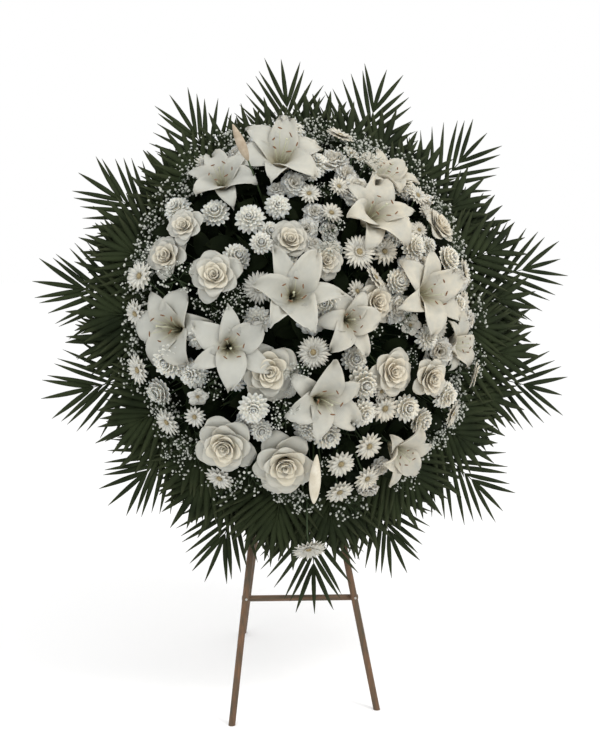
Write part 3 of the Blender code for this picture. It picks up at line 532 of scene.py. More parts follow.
def make_rose(seed, petals=30):
    bm = start_piece()
    chance = random.Random(seed)
    foot = -0.42
    for k in range(petals):
        t = k / (petals - 1)
        turn = Matrix.Rotation(k * GOLDEN + chance.uniform(-0.15, 0.15), 4, "Z")
        petal(bm, turn, HEART if t < 0.62 else ROSE, 0.78 + 0.40 * t + chance.uniform(-0.04, 0.04),
              0.24 + 0.36 * t, 88 - 50 * t**1.6 + chance.uniform(-5, 5),
              -14 - 66 * t**1.3 + chance.uniform(-12, 10), rounded, power=2.2,
              rows=6, columns=6, start=0.05 + 0.15 * t, up=foot + 0.12 * (1 - t), wrap=0.95 - 0.50 * t,
              cup=0.20, ruffle=0.20 * t, phase=chance.uniform(0, 6), thick=0.014, tip=0.09)
    bead(bm, Matrix.Translation((0, 0, foot + 0.02)) @ Matrix.Diagonal((0.22, 0.22, 0.16, 1)), STALK)
    return keep(bm, f"rose_head_{seed}")


HEADS["rose"] = [make_rose(seed) for seed in (11, 12)]

# %% [markdown]
# A gerbera and a spray daisy share a plan: two whorls of strap petals round a raised disc. The gerbera
# has more and longer petals and a fringe round its disc. A pompon has no disc: six whorls climb from flat
# to upright until they close over the middle. A ruffled bloom is built like a small carnation: five
# whorls of broad petals with deeply waved rims.

# %% Daisies, pompons and ruffled blooms


def make_gerbera(seed):
    bm = start_piece()
    ring(bm, 21, DAISY, 0.78, 0.105, 13, -16, strap, seed, start=0.2, up=-0.10, rows=4, thick=0.02, cup=0.3)
    ring(bm, 21, DAISY, 0.72, 0.100, 22, -14, strap, 0.5 + seed, start=0.18, up=-0.06, rows=4, thick=0.02,
         cup=0.3)
    ring(bm, 24, DAISY, 0.20, 0.028, 52, -20, strap, 0.2, start=0.16, up=-0.03, rows=2, columns=1, thick=0.02)
    bead(bm, Matrix.Translation((0, 0, -0.03)) @ Matrix.Diagonal((0.20, 0.20, 0.11, 1)), DISC, 14, 7)
    return keep(bm, f"gerbera_head_{seed}")


def make_daisy(seed):
    bm = start_piece()
    ring(bm, 15, DAISY, 0.82, 0.145, 8, -10, strap, 0.3 * seed, start=0.14, up=-0.12, rows=3, thick=0.03)
    ring(bm, 13, DAISY, 0.70, 0.135, 26, -22, strap, 0.5 + seed, start=0.12, up=-0.06, rows=3, thick=0.03)
    bead(bm, Matrix.Translation((0, 0, 0.0)) @ Matrix.Diagonal((0.19, 0.19, 0.12, 1)), DISC, 9, 5)
    return keep(bm, f"daisy_head_{seed}")


def make_pompon(seed, reflexed=0.0):
    bm = start_piece()
    whorls = ((15, 0.72, -2), (15, 0.70, 17), (13, 0.64, 36), (11, 0.58, 53), (8, 0.50, 68), (5, 0.42, 82))
    for level, (count, long, rise) in enumerate(whorls):
        ring(bm, count, MUM, long, 0.165 - 0.008 * level, rise, 34 - 70 * reflexed, rounded, 0.5 * level + seed,
             start=0.27 - 0.045 * level, up=-0.32 + 0.09 * level, rows=3, columns=2, thick=0.03,
             wobble=1.3 + 1.5 * reflexed, ruffle=0.12, cup=0.35)
    bead(bm, Matrix.Translation((0, 0, -0.16)) @ Matrix.Diagonal((0.36, 0.36, 0.34, 1)), MUM, 8, 5)
    return keep(bm, f"pompon_head_{seed}")


def make_ruffled(seed):
    bm = start_piece()
    whorls = ((7, 0.96, 0.44, 8, -22, 0.0), (7, 0.90, 0.42, 28, -30, 0.5), (6, 0.80, 0.38, 46, -30, 0.2),
              (5, 0.68, 0.33, 62, -24, 0.7), (4, 0.56, 0.28, 76, -16, 0.1))
    for level, (count, long, half, rise, bend, offset) in enumerate(whorls):
        ring(bm, count, MUM if level < 3 else ROSE, long, half, rise, bend, rounded, offset + seed, start=0.06,
             up=-0.30 + 0.04 * level, rows=4, columns=8, ruffle=0.30, frill=0.20, cup=0.1, thick=0.014,
             wobble=2.2, tip=0.16)
    return keep(bm, f"ruffled_head_{seed}")


def make_small(seed):
    bm = start_piece()
    ring(bm, 5, DAISY, 0.95, 0.44, 20, -30, rounded, 0.2 * seed, start=0.03, up=-0.10, rows=3, columns=3,
         cup=0.15, ruffle=0.12, thick=0.03)
    bead(bm, Matrix.Translation((0, 0, -0.02)) @ Matrix.Diagonal((0.15, 0.15, 0.12, 1)), DISC, 7, 4)
    return keep(bm, f"small_head_{seed}")


HEADS["daisy"] = [make_daisy(seed) for seed in (1, 2)]
HEADS["gerbera"] = [make_gerbera(seed) for seed in (1, 2)]
HEADS["pompon"] = [make_pompon(1), make_pompon(2, 0.8), make_pompon(3, 0.4)]
HEADS["ruffled"] = [make_ruffled(seed) for seed in (1, 2)]
HEADS["small"] = [make_small(seed) for seed in (1, 2)]

# %% [markdown]
# A lily bud is a stretched sphere with three shallow grooves. A sprig of baby's breath is a spray of thin
# stalks, each with a few tiny white blossoms. At this size a blossom is a speck, so it has twenty faces.

# %% Buds and baby's breath
SPRIG_DEEP = 0.66  # from the blossoms back to the joint, in a sprig of size 1


def make_bud(paint, name):
    bm = start_piece()
    verts = bead(bm, Matrix.Identity(4), paint, 18, 14)
    for vert in verts:
        v = (vert.co.z + 1) / 2
        wide = 0.0125 * math.sin(math.pi * min(v, 1.0)) ** 0.7 * (1.12 - 0.35 * v) + 0.0004
        turn = math.atan2(vert.co.y, vert.co.x)
        wide *= 1 - 0.10 * abs(math.cos(1.5 * turn)) ** 6
        vert.co = Vector((math.cos(turn) * wide, math.sin(turn) * wide, v * 0.106 - 0.003))
    return keep(bm, name)


def make_sprig(seed, florets=42):
    bm = start_piece()
    chance = random.Random(seed)
    joint = Vector((0, 0, -SPRIG_DEEP))
    for k in range(6):
        lean = chance.uniform(0.25, 0.95)
        turn = math.tau * (k + chance.uniform(-0.2, 0.2)) / 6
        knee = joint + Vector((math.cos(turn) * lean * 0.5, math.sin(turn) * lean * 0.5, 0.45))
        tube(bm, [joint, knee], (0.018, 0.014), STALK, 3)
        for _ in range(florets // 6):
            away = Vector((math.cos(turn) * lean, math.sin(turn) * lean, 0.75 - 0.35 * lean))
            end = joint + away + Vector([chance.uniform(-0.36, 0.36) for _ in range(3)])
            tube(bm, [knee, end], (0.013, 0.010), STALK, 3)
            size = chance.uniform(0.050, 0.088)
            turned = facing(end, (end - knee).normalized(), chance.uniform(0, 6))
            grain_bead(bm, turned @ Matrix.Diagonal((size, size, size * 0.75, 1)), BLOSSOM)
    return keep(bm, f"sprig_{seed}")


HEADS["bud"] = [make_bud(BROWN, "brown_bud_head"), make_bud(BUD, "cream_bud_head")]
HEADS["umbel"] = [make_sprig(seed) for seed in (5, 6, 7)]

# %% [markdown]
# Stamping copies a head into a piece and moves only the new vertices. Each head is also bent a little by
# a smooth noise that depends on its place, so no two look alike. Blender starts that noise from the clock
# unless it is given a seed, and with one the wreath grows the same way each time.

# %% Stamping heads on stems
FOOT_BELOW = {"lily": 0.070, "bud": 0, "rose": 0.42, "daisy": 0.1, "low": 0.1, "gerbera": 0.1,
              "pompon": 0.4, "umbel": SPRIG_DEEP, "ruffled": 0.3, "small": 0.1}
FOAM_MIDDLE, FOAM_SIZE, FOAM_HIGH = Vector((-0.01, 0.03)), Vector((0.28, 0.31)), 0.148
SHOULDER = 0.09  # above this height the foam draws in quickly
CORE = Vector((-0.01, 0.035, 0.050))  # every stem points at this spot in the foam
noise.seed_set(5)


def stamp(bm, mesh, matrix, bend=0.0, size=1.0):
    first = len(bm.verts)
    bm.from_mesh(mesh)
    bm.verts.ensure_lookup_table()
    fresh = bm.verts[first:]
    bmesh.ops.transform(bm, matrix=matrix, verts=fresh)
    if bend:
        for vert in fresh:
            vert.co += noise.noise_vector(vert.co * (0.9 / size)) * bend * size


def head_place(kind, x, y, lift, tilt):
    if kind == "low":
        return Vector((x, y, 0.105)), Vector((0, -0.86, 0.50)).normalized()
    spot, normal = dome_place(x, y, lift)
    return spot, (normal + Vector(tilt)).normalized()


def foam_entry(spot):
    """Where the line from the foam's core to the spot comes out of the foam."""
    low, high = 0.0, 1.0
    for _ in range(20):
        share = (low + high) / 2
        here = CORE + (spot - CORE) * share
        above = here.z - SHOULDER
        wide = 0.97 - (0.03 * above / SHOULDER if above < 0 else 0.35 * above / 0.05)
        away = math.hypot((here.x - FOAM_MIDDLE.x) / FOAM_SIZE.x, (here.y - FOAM_MIDDLE.y) / FOAM_SIZE.y)
        inside = away < wide and here.z < FOAM_HIGH
        low, high = (share, high) if inside else (low, share)
    return CORE + (spot - CORE) * low


def grow(bm, heads, variant=0, loose=0.22):
    """One fork with a stem for each head. A loose head nods away from the dome's own direction."""
    places = [head_place(kind, x, y, lift, tilt[0] if tilt else (0, 0, 0))
              for kind, x, y, _, lift, *tilt in heads]
    middle = sum((spot for spot, _ in places), Vector()) / len(places)
    entry = foam_entry(middle)
    fork = entry + (middle - entry) * (0.30 if len(heads) > 1 else 0.02)
    tube(bm, [entry + (CORE - entry).normalized() * 0.03, fork], (0.0026, 0.0026), STALK, 6)
    for index, ((kind, x, y, size, *_), (spot, normal)) in enumerate(zip(heads, places)):
        nod = noise.noise_vector(Vector((x * 9, y * 9, variant))) * loose
        normal = (normal + nod).normalized() if kind != "bud" else normal
        foot = spot - normal * FOOT_BELOW[kind] * size
        knee = foot - normal * 0.018 + (fork - foot) * 0.10
        tube(bm, [fork, knee, foot - normal * 0.001], (0.0024, 0.0021, 0.0021), STALK, 6)
        looks = "gerbera" if kind == "low" or (kind == "daisy" and size > 0.043) else kind
        choice = HEADS[looks]
        pick = choice[(index + variant) % len(choice)] if looks != "bud" else choice[int(y < 0)]
        bend = {"bud": 0, "lily": 0.14}.get(looks, 0.08)
        radius = 0.09 * size if looks == "lily" else size
        stamp(bm, pick, facing(spot, normal, 40 * x + 70 * y, size), bend, radius)


def settle(bm, name, slot, *nodes):
    """Turns a piece into the room, gives it its finishes, and ties it to the frame."""
    bmesh.ops.transform(bm, matrix=WREATH, verts=bm.verts)
    used = sorted({face.material_index for face in bm.faces})
    for face in bm.faces:
        face.material_index = used.index(face.material_index)
    mesh = bpy.data.meshes.new(name)
    bm.to_mesh(mesh)
    bm.free()
    for index in used:
        mesh.materials.append(PAINTS[index])
    piece = bpy.data.objects.new(name, mesh)
    bpy.context.scene.collection.objects.link(piece)
    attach(piece, BODY)
    if nodes:
        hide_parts(*nodes)
    return piece


# %% [markdown]
# Each row below is one cut stem of the CAD model: the kinds of head it carries, with x, y, size and how
# far each stands off the dome. A few heads are also turned away from the dome's own direction.

# %% Where the cut flowers stand
STEMS = {
    "lily_stem_top": (("lily", -0.09, 0.44, 1.12, 0.02), ("lily", -0.24, 0.38, 0.9, 0.01),
                      ("bud", -0.175, 0.39, 0.95, 0.045, (-0.6, 1.0, 0.0))),
    "lily_stem_upper_right": (("lily", 0.12, 0.27, 1.05, 0.03), ("lily", 0.19, 0.4, 0.85, 0.0)),
    "lily_stem_centre": (("lily", -0.11, 0.08, 1.12, 0.05), ("lily", 0.03, 0.01, 0.9, 0.02)),
    "lily_stem_left": (("lily", -0.39, 0.02, 1.1, 0.0), ("lily", -0.25, -0.04, 1.05, 0.04)),
    "lily_stem_right": (("lily", 0.25, 0.08, 1.1, 0.03), ("lily", 0.38, -0.04, 0.8, -0.01)),
    "lily_stem_lower": (("lily", -0.04, -0.17, 1.05, 0.04),
                        ("bud", -0.052, -0.38, 1.2, 0.06, (0.1, 4.2, 0.5))),
    "lily_stem_low_right": (("lily", 0.19, -0.31, 0.85, 0.01),),
    "rose_1": (("rose", -0.17, -0.1, 0.064, 0.0),),
    "rose_2": (("rose", -0.12, -0.32, 0.07, 0.0), ("rose", -0.26, -0.27, 0.064, 0.0)),
    "rose_3": (("rose", -0.28, 0.13, 0.055, 0.0),),
    "rose_4": (("rose", -0.38, 0.19, 0.046, 0.0), ("rose", -0.33, 0.25, 0.04, 0.018)),
    "rose_5": (("rose", -0.1, 0.21, 0.044, 0.0), ("rose", -0.02, 0.16, 0.04, 0.0)),
    "rose_6": (("rose", 0.11, 0.06, 0.05, -0.018), ("rose", 0.14, -0.11, 0.052, 0.0)),
    "rose_7": (("rose", 0.32, 0.26, 0.045, 0.0), ("rose", 0.24, -0.125, 0.046, 0.018)),
    "gerbera_1": (("daisy", -0.18, 0.1, 0.044, -0.018), ("daisy", -0.06, -0.06, 0.044, 0.0)),
    "gerbera_2": (("daisy", 0.07, 0.18, 0.046, 0.0), ("daisy", 0.15, 0.19, 0.04, -0.018)),
    "gerbera_low": (("low", -0.04, -0.54, 0.045, 0.0),),
    "spray_top": (("pompon", -0.04, 0.54, 0.039, 0.0), ("daisy", 0.09, 0.51, 0.04, 0.0),
                  ("pompon", 0.0, 0.43, 0.039, -0.018), ("daisy", -0.04, 0.33, 0.03, 0.0),
                  ("daisy", 0.04, 0.35, 0.03, 0.0), ("daisy", 0.01, 0.28, 0.03, 0.0)),
    "spray_upper_left": (("pompon", -0.27, 0.3, 0.039, -0.018), ("pompon", -0.35, 0.31, 0.039, 0.0),
                         ("pompon", -0.19, 0.27, 0.039, 0.0), ("pompon", -0.17, 0.2, 0.03, 0.018),
                         ("pompon", -0.12, 0.3, 0.034, 0.0)),
    "spray_left": (("daisy", -0.425, 0.14, 0.04, 0.032), ("daisy", -0.46, -0.08, 0.04, 0.018),
                   ("pompon", -0.42, -0.14, 0.039, -0.018), ("pompon", -0.345, -0.1, 0.039, -0.018),
                   ("pompon", -0.19, 0.02, 0.036, 0.0)),
    "spray_lower_left": (("daisy", -0.39, -0.21, 0.04, 0.0), ("daisy", -0.33, -0.2, 0.03, 0.0),
                         ("daisy", -0.27, -0.36, 0.04, 0.0), ("pompon", -0.2, -0.18, 0.039, 0.032),
                         ("pompon", -0.18, -0.24, 0.03, 0.0)),
    "spray_lower": (("pompon", -0.02, -0.26, 0.039, 0.0), ("daisy", 0.09, -0.29, 0.04, 0.0),
                    ("daisy", 0.02, -0.33, 0.04, 0.0), ("daisy", 0.1, -0.37, 0.04, 0.0),
                    ("daisy", 0.03, -0.4, 0.04, 0.0), ("pompon", 0.07, -0.21, 0.039, 0.0),
                    ("pompon", 0.05, -0.08, 0.036, -0.018)),
    "spray_right": (("daisy", 0.41, 0.15, 0.04, 0.0), ("daisy", 0.42, 0.07, 0.04, -0.018),
                    ("pompon", 0.32, 0.17, 0.039, 0.018), ("daisy", 0.25, 0.33, 0.032, 0.018),
                    ("pompon", 0.23, 0.2, 0.039, 0.0), ("pompon", 0.17, 0.11, 0.036, 0.0)),
    "spray_lower_right": (("daisy", 0.43, -0.12, 0.04, 0.018), ("pompon", 0.26, -0.24, 0.039, -0.018),
                          ("pompon", 0.32, -0.17, 0.039, 0.0), ("daisy", 0.37, -0.22, 0.04, 0.0),
                          ("pompon", 0.19, -0.2, 0.039, 0.0), ("pompon", 0.25, -0.03, 0.034, 0.0)),
    "babys_breath_left": (("umbel", -0.42, 0.2, 0.044, 0.018), ("umbel", -0.36, 0.13, 0.044, 0.032),
                          ("umbel", -0.24, 0.05, 0.04, 0.02)),
    "babys_breath_right": (("umbel", 0.36, 0.3, 0.044, 0.018), ("umbel", 0.37, 0.22, 0.044, 0.018),
                           ("umbel", 0.41, -0.17, 0.044, -0.018), ("umbel", 0.18, 0.46, 0.044, 0.0)),
    "babys_breath_low": (("umbel", -0.34, -0.285, 0.044, 0.0), ("umbel", -0.2, -0.35, 0.044, 0.018),
                         ("umbel", -0.13, -0.2, 0.04, 0.052), ("umbel", 0.28, -0.32, 0.044, 0.0),
                         ("umbel", -0.05, -0.43, 0.044, 0.0)),
}
SLOTS = {"lily": "lily_white", "rose": "rose_cream", "babys": "breath_white"}
TAKEN = []  # x, y and radius of each head, so that the fillers go between them
for variant, (stem, heads) in enumerate(STEMS.items()):
    bm = start_piece()
    grow(bm, heads, variant)
    settle(bm, f"{stem}_in_bloom", SLOTS.get(stem.split("_")[0], "daisy_white"), stem)
    for kind, x, y, size, *_ in heads:
        TAKEN.append((x, y, {"lily": 0.072 * size, "bud": 0.02}.get(kind, size)))
print(len(STEMS), "stems with", len(TAKEN), "heads")

# %% [markdown]
# A florist closes the gaps with small filler blooms. The golden angle spreads spots evenly over the dome,
# like the seeds of a sunflower. A spot is used only where no head is near, and its bloom is as large as
# the room allows. The real wreath is not full: its larger dark hollows are listed here and kept open, and
# further spots stay empty by chance, more of them low on the dome. A few sprigs and one daisy that stand
# out on the real wreath have places of their own.

# %% Filler blooms
HOLLOWS = ((-0.185, 0.33, 0.030), (-0.31, 0.18, 0.026), (-0.36, 0.125, 0.020), (-0.16, 0.155, 0.014),
           (0.21, 0.20, 0.020), (0.31, 0.145, 0.018), (-0.365, -0.125, 0.036), (-0.22, -0.135, 0.018),
           (-0.135, -0.235, 0.024), (-0.155, -0.03, 0.016), (-0.165, -0.37, 0.032), (-0.005, -0.015, 0.016),
           (0.08, 0.28, 0.014), (0.02, -0.45, 0.030), (0.16, -0.40, 0.024))  # x, y, radius
PLACED = (("umbel", -0.43, -0.17, 0.04, 0.0), ("umbel", 0.19, 0.01, 0.036, 0.01),
          ("daisy", -0.47, 0.06, 0.038, 0.0), ("umbel", -0.295, -0.125, 0.036, 0.01),
          ("umbel", -0.24, 0.04, 0.034, 0.02), ("umbel", -0.095, -0.105, 0.036, 0.03),
          ("umbel", -0.135, -0.19, 0.034, 0.02), ("umbel", 0.0, 0.24, 0.034, 0.02),
          ("umbel", -0.015, 0.19, 0.032, 0.02), ("umbel", 0.085, 0.44, 0.042, 0.02),
          ("umbel", 0.125, 0.41, 0.036, 0.02))
FILLERS = {"daisy": 2, "pompon": 4, "ruffled": 7, "small": 2, "umbel": 3}  # how often each kind is picked
SPOTS, LEAST_ROOM, LARGEST, LARGEST_SMALL = 900, 0.017, 0.046, 0.028
RIM = 0.985  # the outermost blooms stand just inside the dome's edge


def left_empty(x, y):
    """How likely a spot is to stay empty. The blooms stand closest at the upper right."""
    if y > 0.05 and x > -0.2:
        return 0.12
    return 0.45 if y > -0.3 else 0.65


def filler_places():
    chance = random.Random(7)
    full = [*TAKEN, *HOLLOWS]
    found = list(PLACED)
    for k in range(SPOTS):
        share = RIM * math.sqrt((k + 0.5) / SPOTS)
        x = DOME_MIDDLE.x + DOME_SIZE.x * share * math.cos(k * GOLDEN)
        y = DOME_MIDDLE.y + DOME_SIZE.y * share * math.sin(k * GOLDEN)
        room = min(math.hypot(x - a, y - b) - 0.66 * r for a, b, r in full)
        if room < LEAST_ROOM:
            continue
        full.append((x, y, min(room * 1.45, LARGEST)))
        if chance.random() < left_empty(x, y):
            continue
        kind = chance.choices(list(FILLERS), list(FILLERS.values()))[0]
        size = min(room * 1.45, LARGEST_SMALL if kind == "small" else LARGEST)
        found.append((kind, x, y, size, -0.014 + chance.uniform(-0.008, 0.010)))
    return found


fillers = filler_places()
for quarter in range(4):
    bm = start_piece()
    for index, head in enumerate(fillers):
        angle = math.atan2(head[2] - DOME_MIDDLE.y, head[1] - DOME_MIDDLE.x) % math.tau
        if int(angle / (math.pi / 2)) % 4 == quarter:
            grow(bm, (head,), index, 0.9)
    settle(bm, f"filler_blooms_{quarter + 1}", "daisy_white")
print(len(fillers), "filler blooms")

# %% [markdown]
# A cloud of baby's breath rings the dome, between the last blooms and the palm. Its sprigs stand on the
# dome's rim and lean outwards. At the bottom only one in six is there.

# %% A ring of baby's breath
bm = start_piece()
chance = random.Random(23)
RING_SPRIGS = 100
for k in range(RING_SPRIGS):
    angle = math.tau * (k + chance.uniform(-0.3, 0.3)) / RING_SPRIGS
    if math.sin(angle) < -0.70 and k % 6:
        continue
    share = RIM + chance.uniform(-0.09, 0.08)
    spot = DOME_MIDDLE + Vector((math.cos(angle) * DOME_SIZE.x, math.sin(angle) * DOME_SIZE.y, 0)) * share
    spot.z += chance.uniform(-0.005, 0.035) + max(0, 1 - share) * 0.35
    axis = Vector((math.cos(angle), math.sin(angle), chance.uniform(0.5, 1.1))).normalized()
    size = chance.uniform(0.040, 0.056)
    foot = spot - axis * SPRIG_DEEP * size
    tube(bm, [foam_entry(foot), foot], (0.0016, 0.0012), STALK, 4)
    stamp(bm, HEADS["umbel"][k % 3], facing(spot, axis, angle * 5, size), 0.1, size)
settle(bm, "breath_round_the_rim", "breath_white")

# %% [markdown]
# Leaves painted nearly black fill what is left: real leaves, with the painted shade of the gaps between the
# blooms in their colour. Each has a short stalk pushed into the foam and lies under the blooms, turned a
# different way by the same golden angle. A skirt of larger leaves round the foam's edge closes the dome from
# below, as it does on the real wreath, where no light comes through between the flowers.

# %% Leaves under the blooms
LEAVES, SKIRT = 300, 150
UNDER_BLOOM, UNDER_LILY = -0.058, -0.088  # below the dome's surface
bm = start_piece()
for k in range(LEAVES):
    share = math.sqrt((k + 0.5) / LEAVES) * 1.02
    angle = k * GOLDEN + 0.7
    x = DOME_MIDDLE.x + DOME_SIZE.x * share * math.cos(angle)
    y = DOME_MIDDLE.y + DOME_SIZE.y * share * math.sin(angle)
    near_lily = min(math.hypot(x - a, y - b) / r for a, b, r in TAKEN if r > 0.055)
    deep = UNDER_BLOOM if near_lily > 1.3 else UNDER_LILY
    spot, normal = dome_place(x, y, deep + chance.uniform(-0.008, 0.008))
    tube(bm, [foam_entry(spot), spot], (0.0014, 0.0010), STALK, 3)
    turn = facing(spot, (normal + Vector((0, 0, 0.3))).normalized(), chance.uniform(0, math.tau))
    petal(bm, turn, LEAF, chance.uniform(0.075, 0.110), chance.uniform(0.017, 0.023), 28, -44, pointed,
          rows=5, columns=2, cup=0.35, ruffle=0.1, thick=0.0007)
settle(bm, "leaves_under_the_blooms", "palm_green")
bm = start_piece()
for k in range(SKIRT):
    angle = k * GOLDEN
    low = 0.030 + 0.060 * (k % 4) / 3
    out = Vector((math.cos(angle), math.sin(angle), 0))
    root = Vector((DOME_MIDDLE.x + out.x * 0.250, DOME_MIDDLE.y + out.y * 0.275, low))
    turn = Matrix.Translation(root) @ Matrix.Rotation(angle + chance.uniform(-0.25, 0.25), 4, "Z")
    petal(bm, turn, LEAF, 0.195 + chance.uniform(-0.03, 0.03), 0.028 + chance.uniform(0, 0.010),
          22 - 8 * (k % 4), -26, pointed, rows=6, columns=2, cup=0.3, ruffle=0.12, thick=0.0007)
settle(bm, "skirt_of_leaves", "palm_green")
print(LEAVES, "leaves on the dome,", SKIRT, "in the skirt")

# %% [markdown]
# A palm frond has one strong rib with narrow pointed leaflets in pairs, longest in the middle of the
# frond. Each leaflet is folded along its middle like a shallow gutter. The CAD fronds give the clock
# direction, the reach and the arch, and here each gets more and finer leaflets.

# %% One palm frond
OUTER_FRONDS = ((-1, 0.73), (21, 0.76), (46, 0.79), (76, 0.79), (104, 0.78), (132, 0.74), (158, 0.70),
                (180, 0.73), (-156, 0.69), (-129, 0.67), (-103, 0.69), (-78, 0.70), (-53, 0.70), (-27, 0.70))
TUFTS = ((0, 1, 2), (3, 4, 5), (6, 7, 8), (9, 10, 11), (12, 13))


RIB_START, LEAFLETS_START, TIP_LEAFLET = 0.237, 0.315, 0.125
FROND_BENDS = 0.30  # further out than this a frond arches back
SHORT_PLACES = ((0.22, 1.5), (0.49, 0.6), (0.76, 2.5))  # share of the gap, and layer


def frond_height(radius, layer, aside):
    """The fronds lie in layers, which arch back towards the leaf tips."""
    past = max(radius - FROND_BENDS, 0)
    return 0.016 + 0.014 * layer - 0.12 * past * past - 0.30 * aside * aside


def blade(v):
    """The outline of a leaflet: narrow at the rib, widest in the middle, pointed."""
    return max(0.03, math.sin(math.pi * min(0.08 + 0.92 * v, 1.0) ** 0.85)) ** 0.8


def frond(bm, clock, reach, layer, pairs, wide, chance):
    turned = math.radians(clock)
    outward = Vector((math.sin(turned), math.cos(turned)))
    sideways = Vector((math.cos(turned), -math.sin(turned)))

    def place(along, aside, lift=0.0):
        flat = outward * along + sideways * aside
        return Vector((flat.x + FOAM_MIDDLE.x / 2, flat.y + FOAM_MIDDLE.y / 2,
                       frond_height(along, layer, aside) + lift))

    last = reach - TIP_LEAFLET
    steps = [RIB_START + (last + 0.02 - RIB_START) * k / 9 for k in range(10)]
    tube(bm, [place(along, 0) for along in steps], [0.0027 - 0.00017 * k for k in range(10)], PALM, 6)
    leaflets = [(last, 0, 0, TIP_LEAFLET)]
    for i in range(pairs):
        t = i / (pairs - 1)
        for side in (-1, 1):
            along = LEAFLETS_START + (last - 0.004 - LEAFLETS_START) * t + chance.uniform(-0.002, 0.002)
            angle = math.radians(22 + 24 * (1 - t**2) + 10 * (1 - t) + chance.uniform(-2.0, 2.0))
            long = (0.135 + 0.06 * math.sin(math.pi * min(0.9 * t + 0.15, 1))) * reach / 0.72
            leaflets.append((along, side, angle, long * chance.uniform(0.94, 1.02)))
    for along, side, angle, long in leaflets:
        way = Vector((math.cos(angle), side * math.sin(angle)))
        cross = Vector((-way.y, way.x))
        verts, faces = flat_grid(bm, PALM, 2, 6)
        half = wide * chance.uniform(0.92, 1.06)
        sag, twist = chance.uniform(-0.010, 0.004), chance.uniform(-0.4, 0.4)
        curve = chance.uniform(-0.006, 0.006)
        for vert in verts:
            u, v = vert.co.x, (vert.co.y + 1) / 2
            across = u * half * blade(v)
            flat = Vector((along, 0)) + way * long * v + cross * (across + curve * v * v)
            lift = -abs(across) * 0.4 + across * twist * v + sag * v * v
            vert.co = place(flat.x, flat.y, lift)
        for face in faces:
            face.normal_update()
        bmesh.ops.solidify(bm, geom=faces, thickness=0.0007)


def paint_rims(bm):
    for face in bm.faces:
        face.material_index = PALM
        face.smooth = True


def frond_pieces():
    chance = random.Random(31)
    for index, (clock, reach) in enumerate(OUTER_FRONDS):
        bm = start_piece()
        frond(bm, clock, reach, index % 2, 12, 0.0064, chance)
        paint_rims(bm)
        settle(bm, f"outer_frond_{index + 1:02d}_leaflets", "palm_green", f"outer_frond_{index + 1:02d}")
    for tuft, members in enumerate(TUFTS):
        bm = start_piece()
        for index in members:
            here, there = OUTER_FRONDS[index][0], OUTER_FRONDS[(index + 1) % len(OUTER_FRONDS)][0]
            frond(bm, here + ((there - here) % 360) / 2, 0.61, 2 + index % 2, 10, 0.0085, chance)
        paint_rims(bm)
        settle(bm, f"inner_tuft_{tuft + 1}_leaflets", "palm_green", f"inner_tuft_{tuft + 1}")


def short_fronds():
    """Shorter fronds between the layers, which make the ring round the flowers dark."""
    chance = random.Random(37)
    half_ring = len(OUTER_FRONDS) // 2
    for part in range(2):
        bm = start_piece()
        for index in range(part * half_ring, (part + 1) * half_ring):
            (here, near), (there, far) = OUTER_FRONDS[index], OUTER_FRONDS[(index + 1) % len(OUTER_FRONDS)]
            for share, layer in SHORT_PLACES:
                clock = here + ((there - here) % 360) * share
                reach = 0.87 * min(near, far) + chance.uniform(-0.02, 0.02)
                frond(bm, clock, reach, layer, 10, 0.0098, chance)
        paint_rims(bm)
        settle(bm, f"short_fronds_{part + 1}", "palm_green")


frond_pieces()
short_fronds()
print(len(OUTER_FRONDS) * (2 + len(SHORT_PLACES)), "fronds")

# %% [markdown]
# The flower foam is a soaked block cut to a dome. It starts as one tall ring that is extruded up the
# dome's profile, and a fine noise gives its cut face the crumbs. Almost all of it is hidden.

# %% Flower foam
bm = start_piece()
ROUNDS = ((0.0003, 1.0), (0.03, 0.995), (0.06, 0.985), (0.090, 0.97), (0.106, 0.92), (0.120, 0.86),
          (0.132, 0.75), (0.140, 0.62), (0.150, 0.30))  # height, and share of the foam's width
FOAM = len(PAINTS)
tube(bm, [Vector((0, 0, height)) for height, _ in ROUNDS], [wide for _, wide in ROUNDS], FOAM, 72)
oval = Matrix.Translation(FOAM_MIDDLE.to_3d()) @ Matrix.Diagonal((*FOAM_SIZE, 1, 1))
bmesh.ops.transform(bm, matrix=oval, verts=bm.verts)
for vert in bm.verts:
    vert.co.z -= 0.0012 * abs(noise.noise(vert.co * 60)) if vert.co.z > 0.05 else 0
soaked = plain_finish("soaked_foam", (0.006, 0.016, 0.006), (0.014, 0.034, 0.012), 0.95, 400.0, 3.0, 0.1, 0.002)
PAINTS.append(soaked)
settle(bm, "crumbly_foam", "foam", "flower_foam")

# %% [markdown]
# The easel keeps its CAD solids, because round poles are already the right shape. Only their finish is
# made here: thin brown stain over a pale wood, darker and greyer along the grain.

# %% Wood and steel


def wood_finish(name, stretch, light, dark, grey, roughness=0.55):
    made, tree, shader = finish(name, roughness, specular=0.35)
    lines = effect(tree, grain, Size=42.0, Contrast=2.6, Stretch=stretch)
    broad = effect(tree, grain, Size=12.0, Contrast=2.4, Stretch=stretch)
    stained = mixed(tree, lines, dark, light)
    tree.links.new(mixed(tree, broad, grey, stained), shader.inputs["Base Color"])
    bumped(tree, shader, lines, 0.4, 0.0005)
    return made
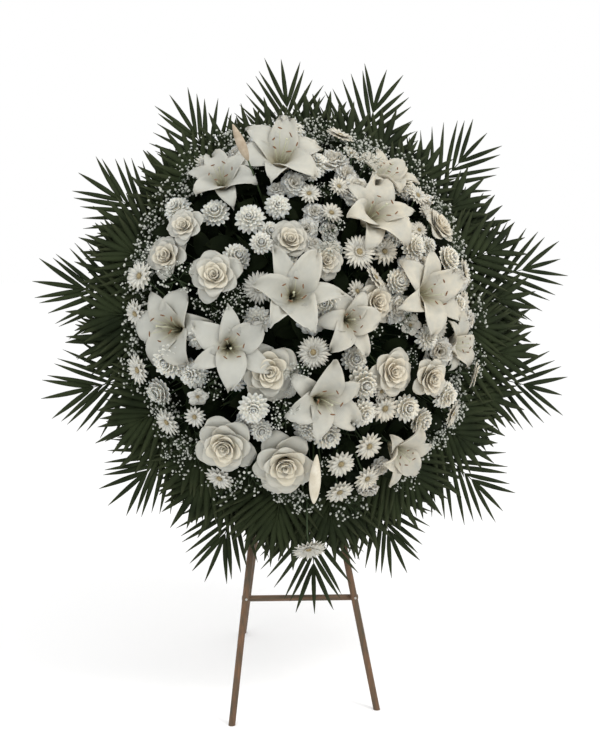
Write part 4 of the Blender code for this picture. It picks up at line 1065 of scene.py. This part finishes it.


# Light and dark brown along the fine grain, and a dark olive grey laid in broad streaks along the grain.
POLE_BROWNS_AND_GREY = ((0.215, 0.105, 0.050), (0.110, 0.056, 0.028), (0.042, 0.045, 0.030))
pole_wood = wood_finish("pole_wood", (5, 5, 0.22), *POLE_BROWNS_AND_GREY)  # the grain runs up the poles
bar_wood = wood_finish("bar_wood", (0.22, 5, 5), *POLE_BROWNS_AND_GREY)  # and along the crossbar
plywood = wood_finish("plywood", (5, 0.5, 0.5), (0.46, 0.33, 0.19), (0.30, 0.20, 0.11), (0.36, 0.27, 0.16), 0.7)
steel = plain_finish("zinc_steel", (0.38, 0.37, 0.34), (0.56, 0.55, 0.52), 0.38, 260.0, 2.0, 0.5, 0.0002)
steel.node_tree.nodes["Principled BSDF"].inputs["Metallic"].default_value = 1.0
CARRIED = {
    pole_wood: ("left_front_leg", "right_front_leg", "rear_leg", "left_peg", "right_peg"),
    bar_wood: ("lower_crossbar",),
    plywood: ("backing_board", "upper_cleat", "lower_cleat"),
    steel: ("pivot_bolt", "wing_nut", "left_nail", "right_nail"),
}
for paint, names in CARRIED.items():
    for name in names:
        for material_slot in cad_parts[name].material_slots:
            material_slot.material = paint
print("finished", sum(len(names) for names in CARRIED.values()), "solids of the easel")

# %% [markdown]
# The studio is a pale floor under a white sky, with one large soft light high at the right and a
# weaker one at the left. Wide lights give the soft shadows of a flower shop window.

# %% Floor and light
FLOOR_GLOW, SKY, KEY_POWER, FILL_POWER = 0.08, 1.0, 50, 18
WREATH_HEART = (0, -0.6, 1.0)  # both lights point at it
bm = bmesh.new()
bmesh.ops.create_grid(bm, x_segments=1, y_segments=1, size=30.0)
floor_mesh = bpy.data.meshes.new("floor")
bm.to_mesh(floor_mesh)
bm.free()
floor = bpy.data.objects.new("floor", floor_mesh)
bpy.context.scene.collection.objects.link(floor)
floor_mesh.materials.append(finish("floor_paint", 0.9, specular=0.1)[0])
floor_paint = floor_mesh.materials[0].node_tree.nodes["Principled BSDF"]
floor_paint.inputs["Base Color"].default_value = (0.93, 0.93, 0.93, 1)
floor_paint.inputs["Emission Color"].default_value = (1, 1, 1, 1)
floor_paint.inputs["Emission Strength"].default_value = FLOOR_GLOW

world = bpy.data.worlds.new("white_sky")
bpy.context.scene.world = world
world.use_nodes = True
world.node_tree.nodes["Background"].inputs["Color"].default_value = (1, 1, 1, 1)
world.node_tree.nodes["Background"].inputs["Strength"].default_value = SKY


def soft_light(name, place, target, size, power, colour=(1, 1, 1)):
    data = bpy.data.lights.new(name, "AREA")
    data.shape = "DISK"
    data.size, data.energy, data.color = size, power, colour
    light = bpy.data.objects.new(name, data)
    bpy.context.scene.collection.objects.link(light)
    light.location = place
    light.rotation_euler = (Vector(target) - Vector(place)).to_track_quat("-Z", "Y").to_euler()


soft_light("key", (1.5, -2.8, 3.3), WREATH_HEART, 1.2, KEY_POWER, (1.0, 0.97, 0.92))
soft_light("fill", (-2.4, -2.4, 2.2), WREATH_HEART, 1.6, FILL_POWER)
bpy.context.scene.view_settings.view_transform = "Standard"
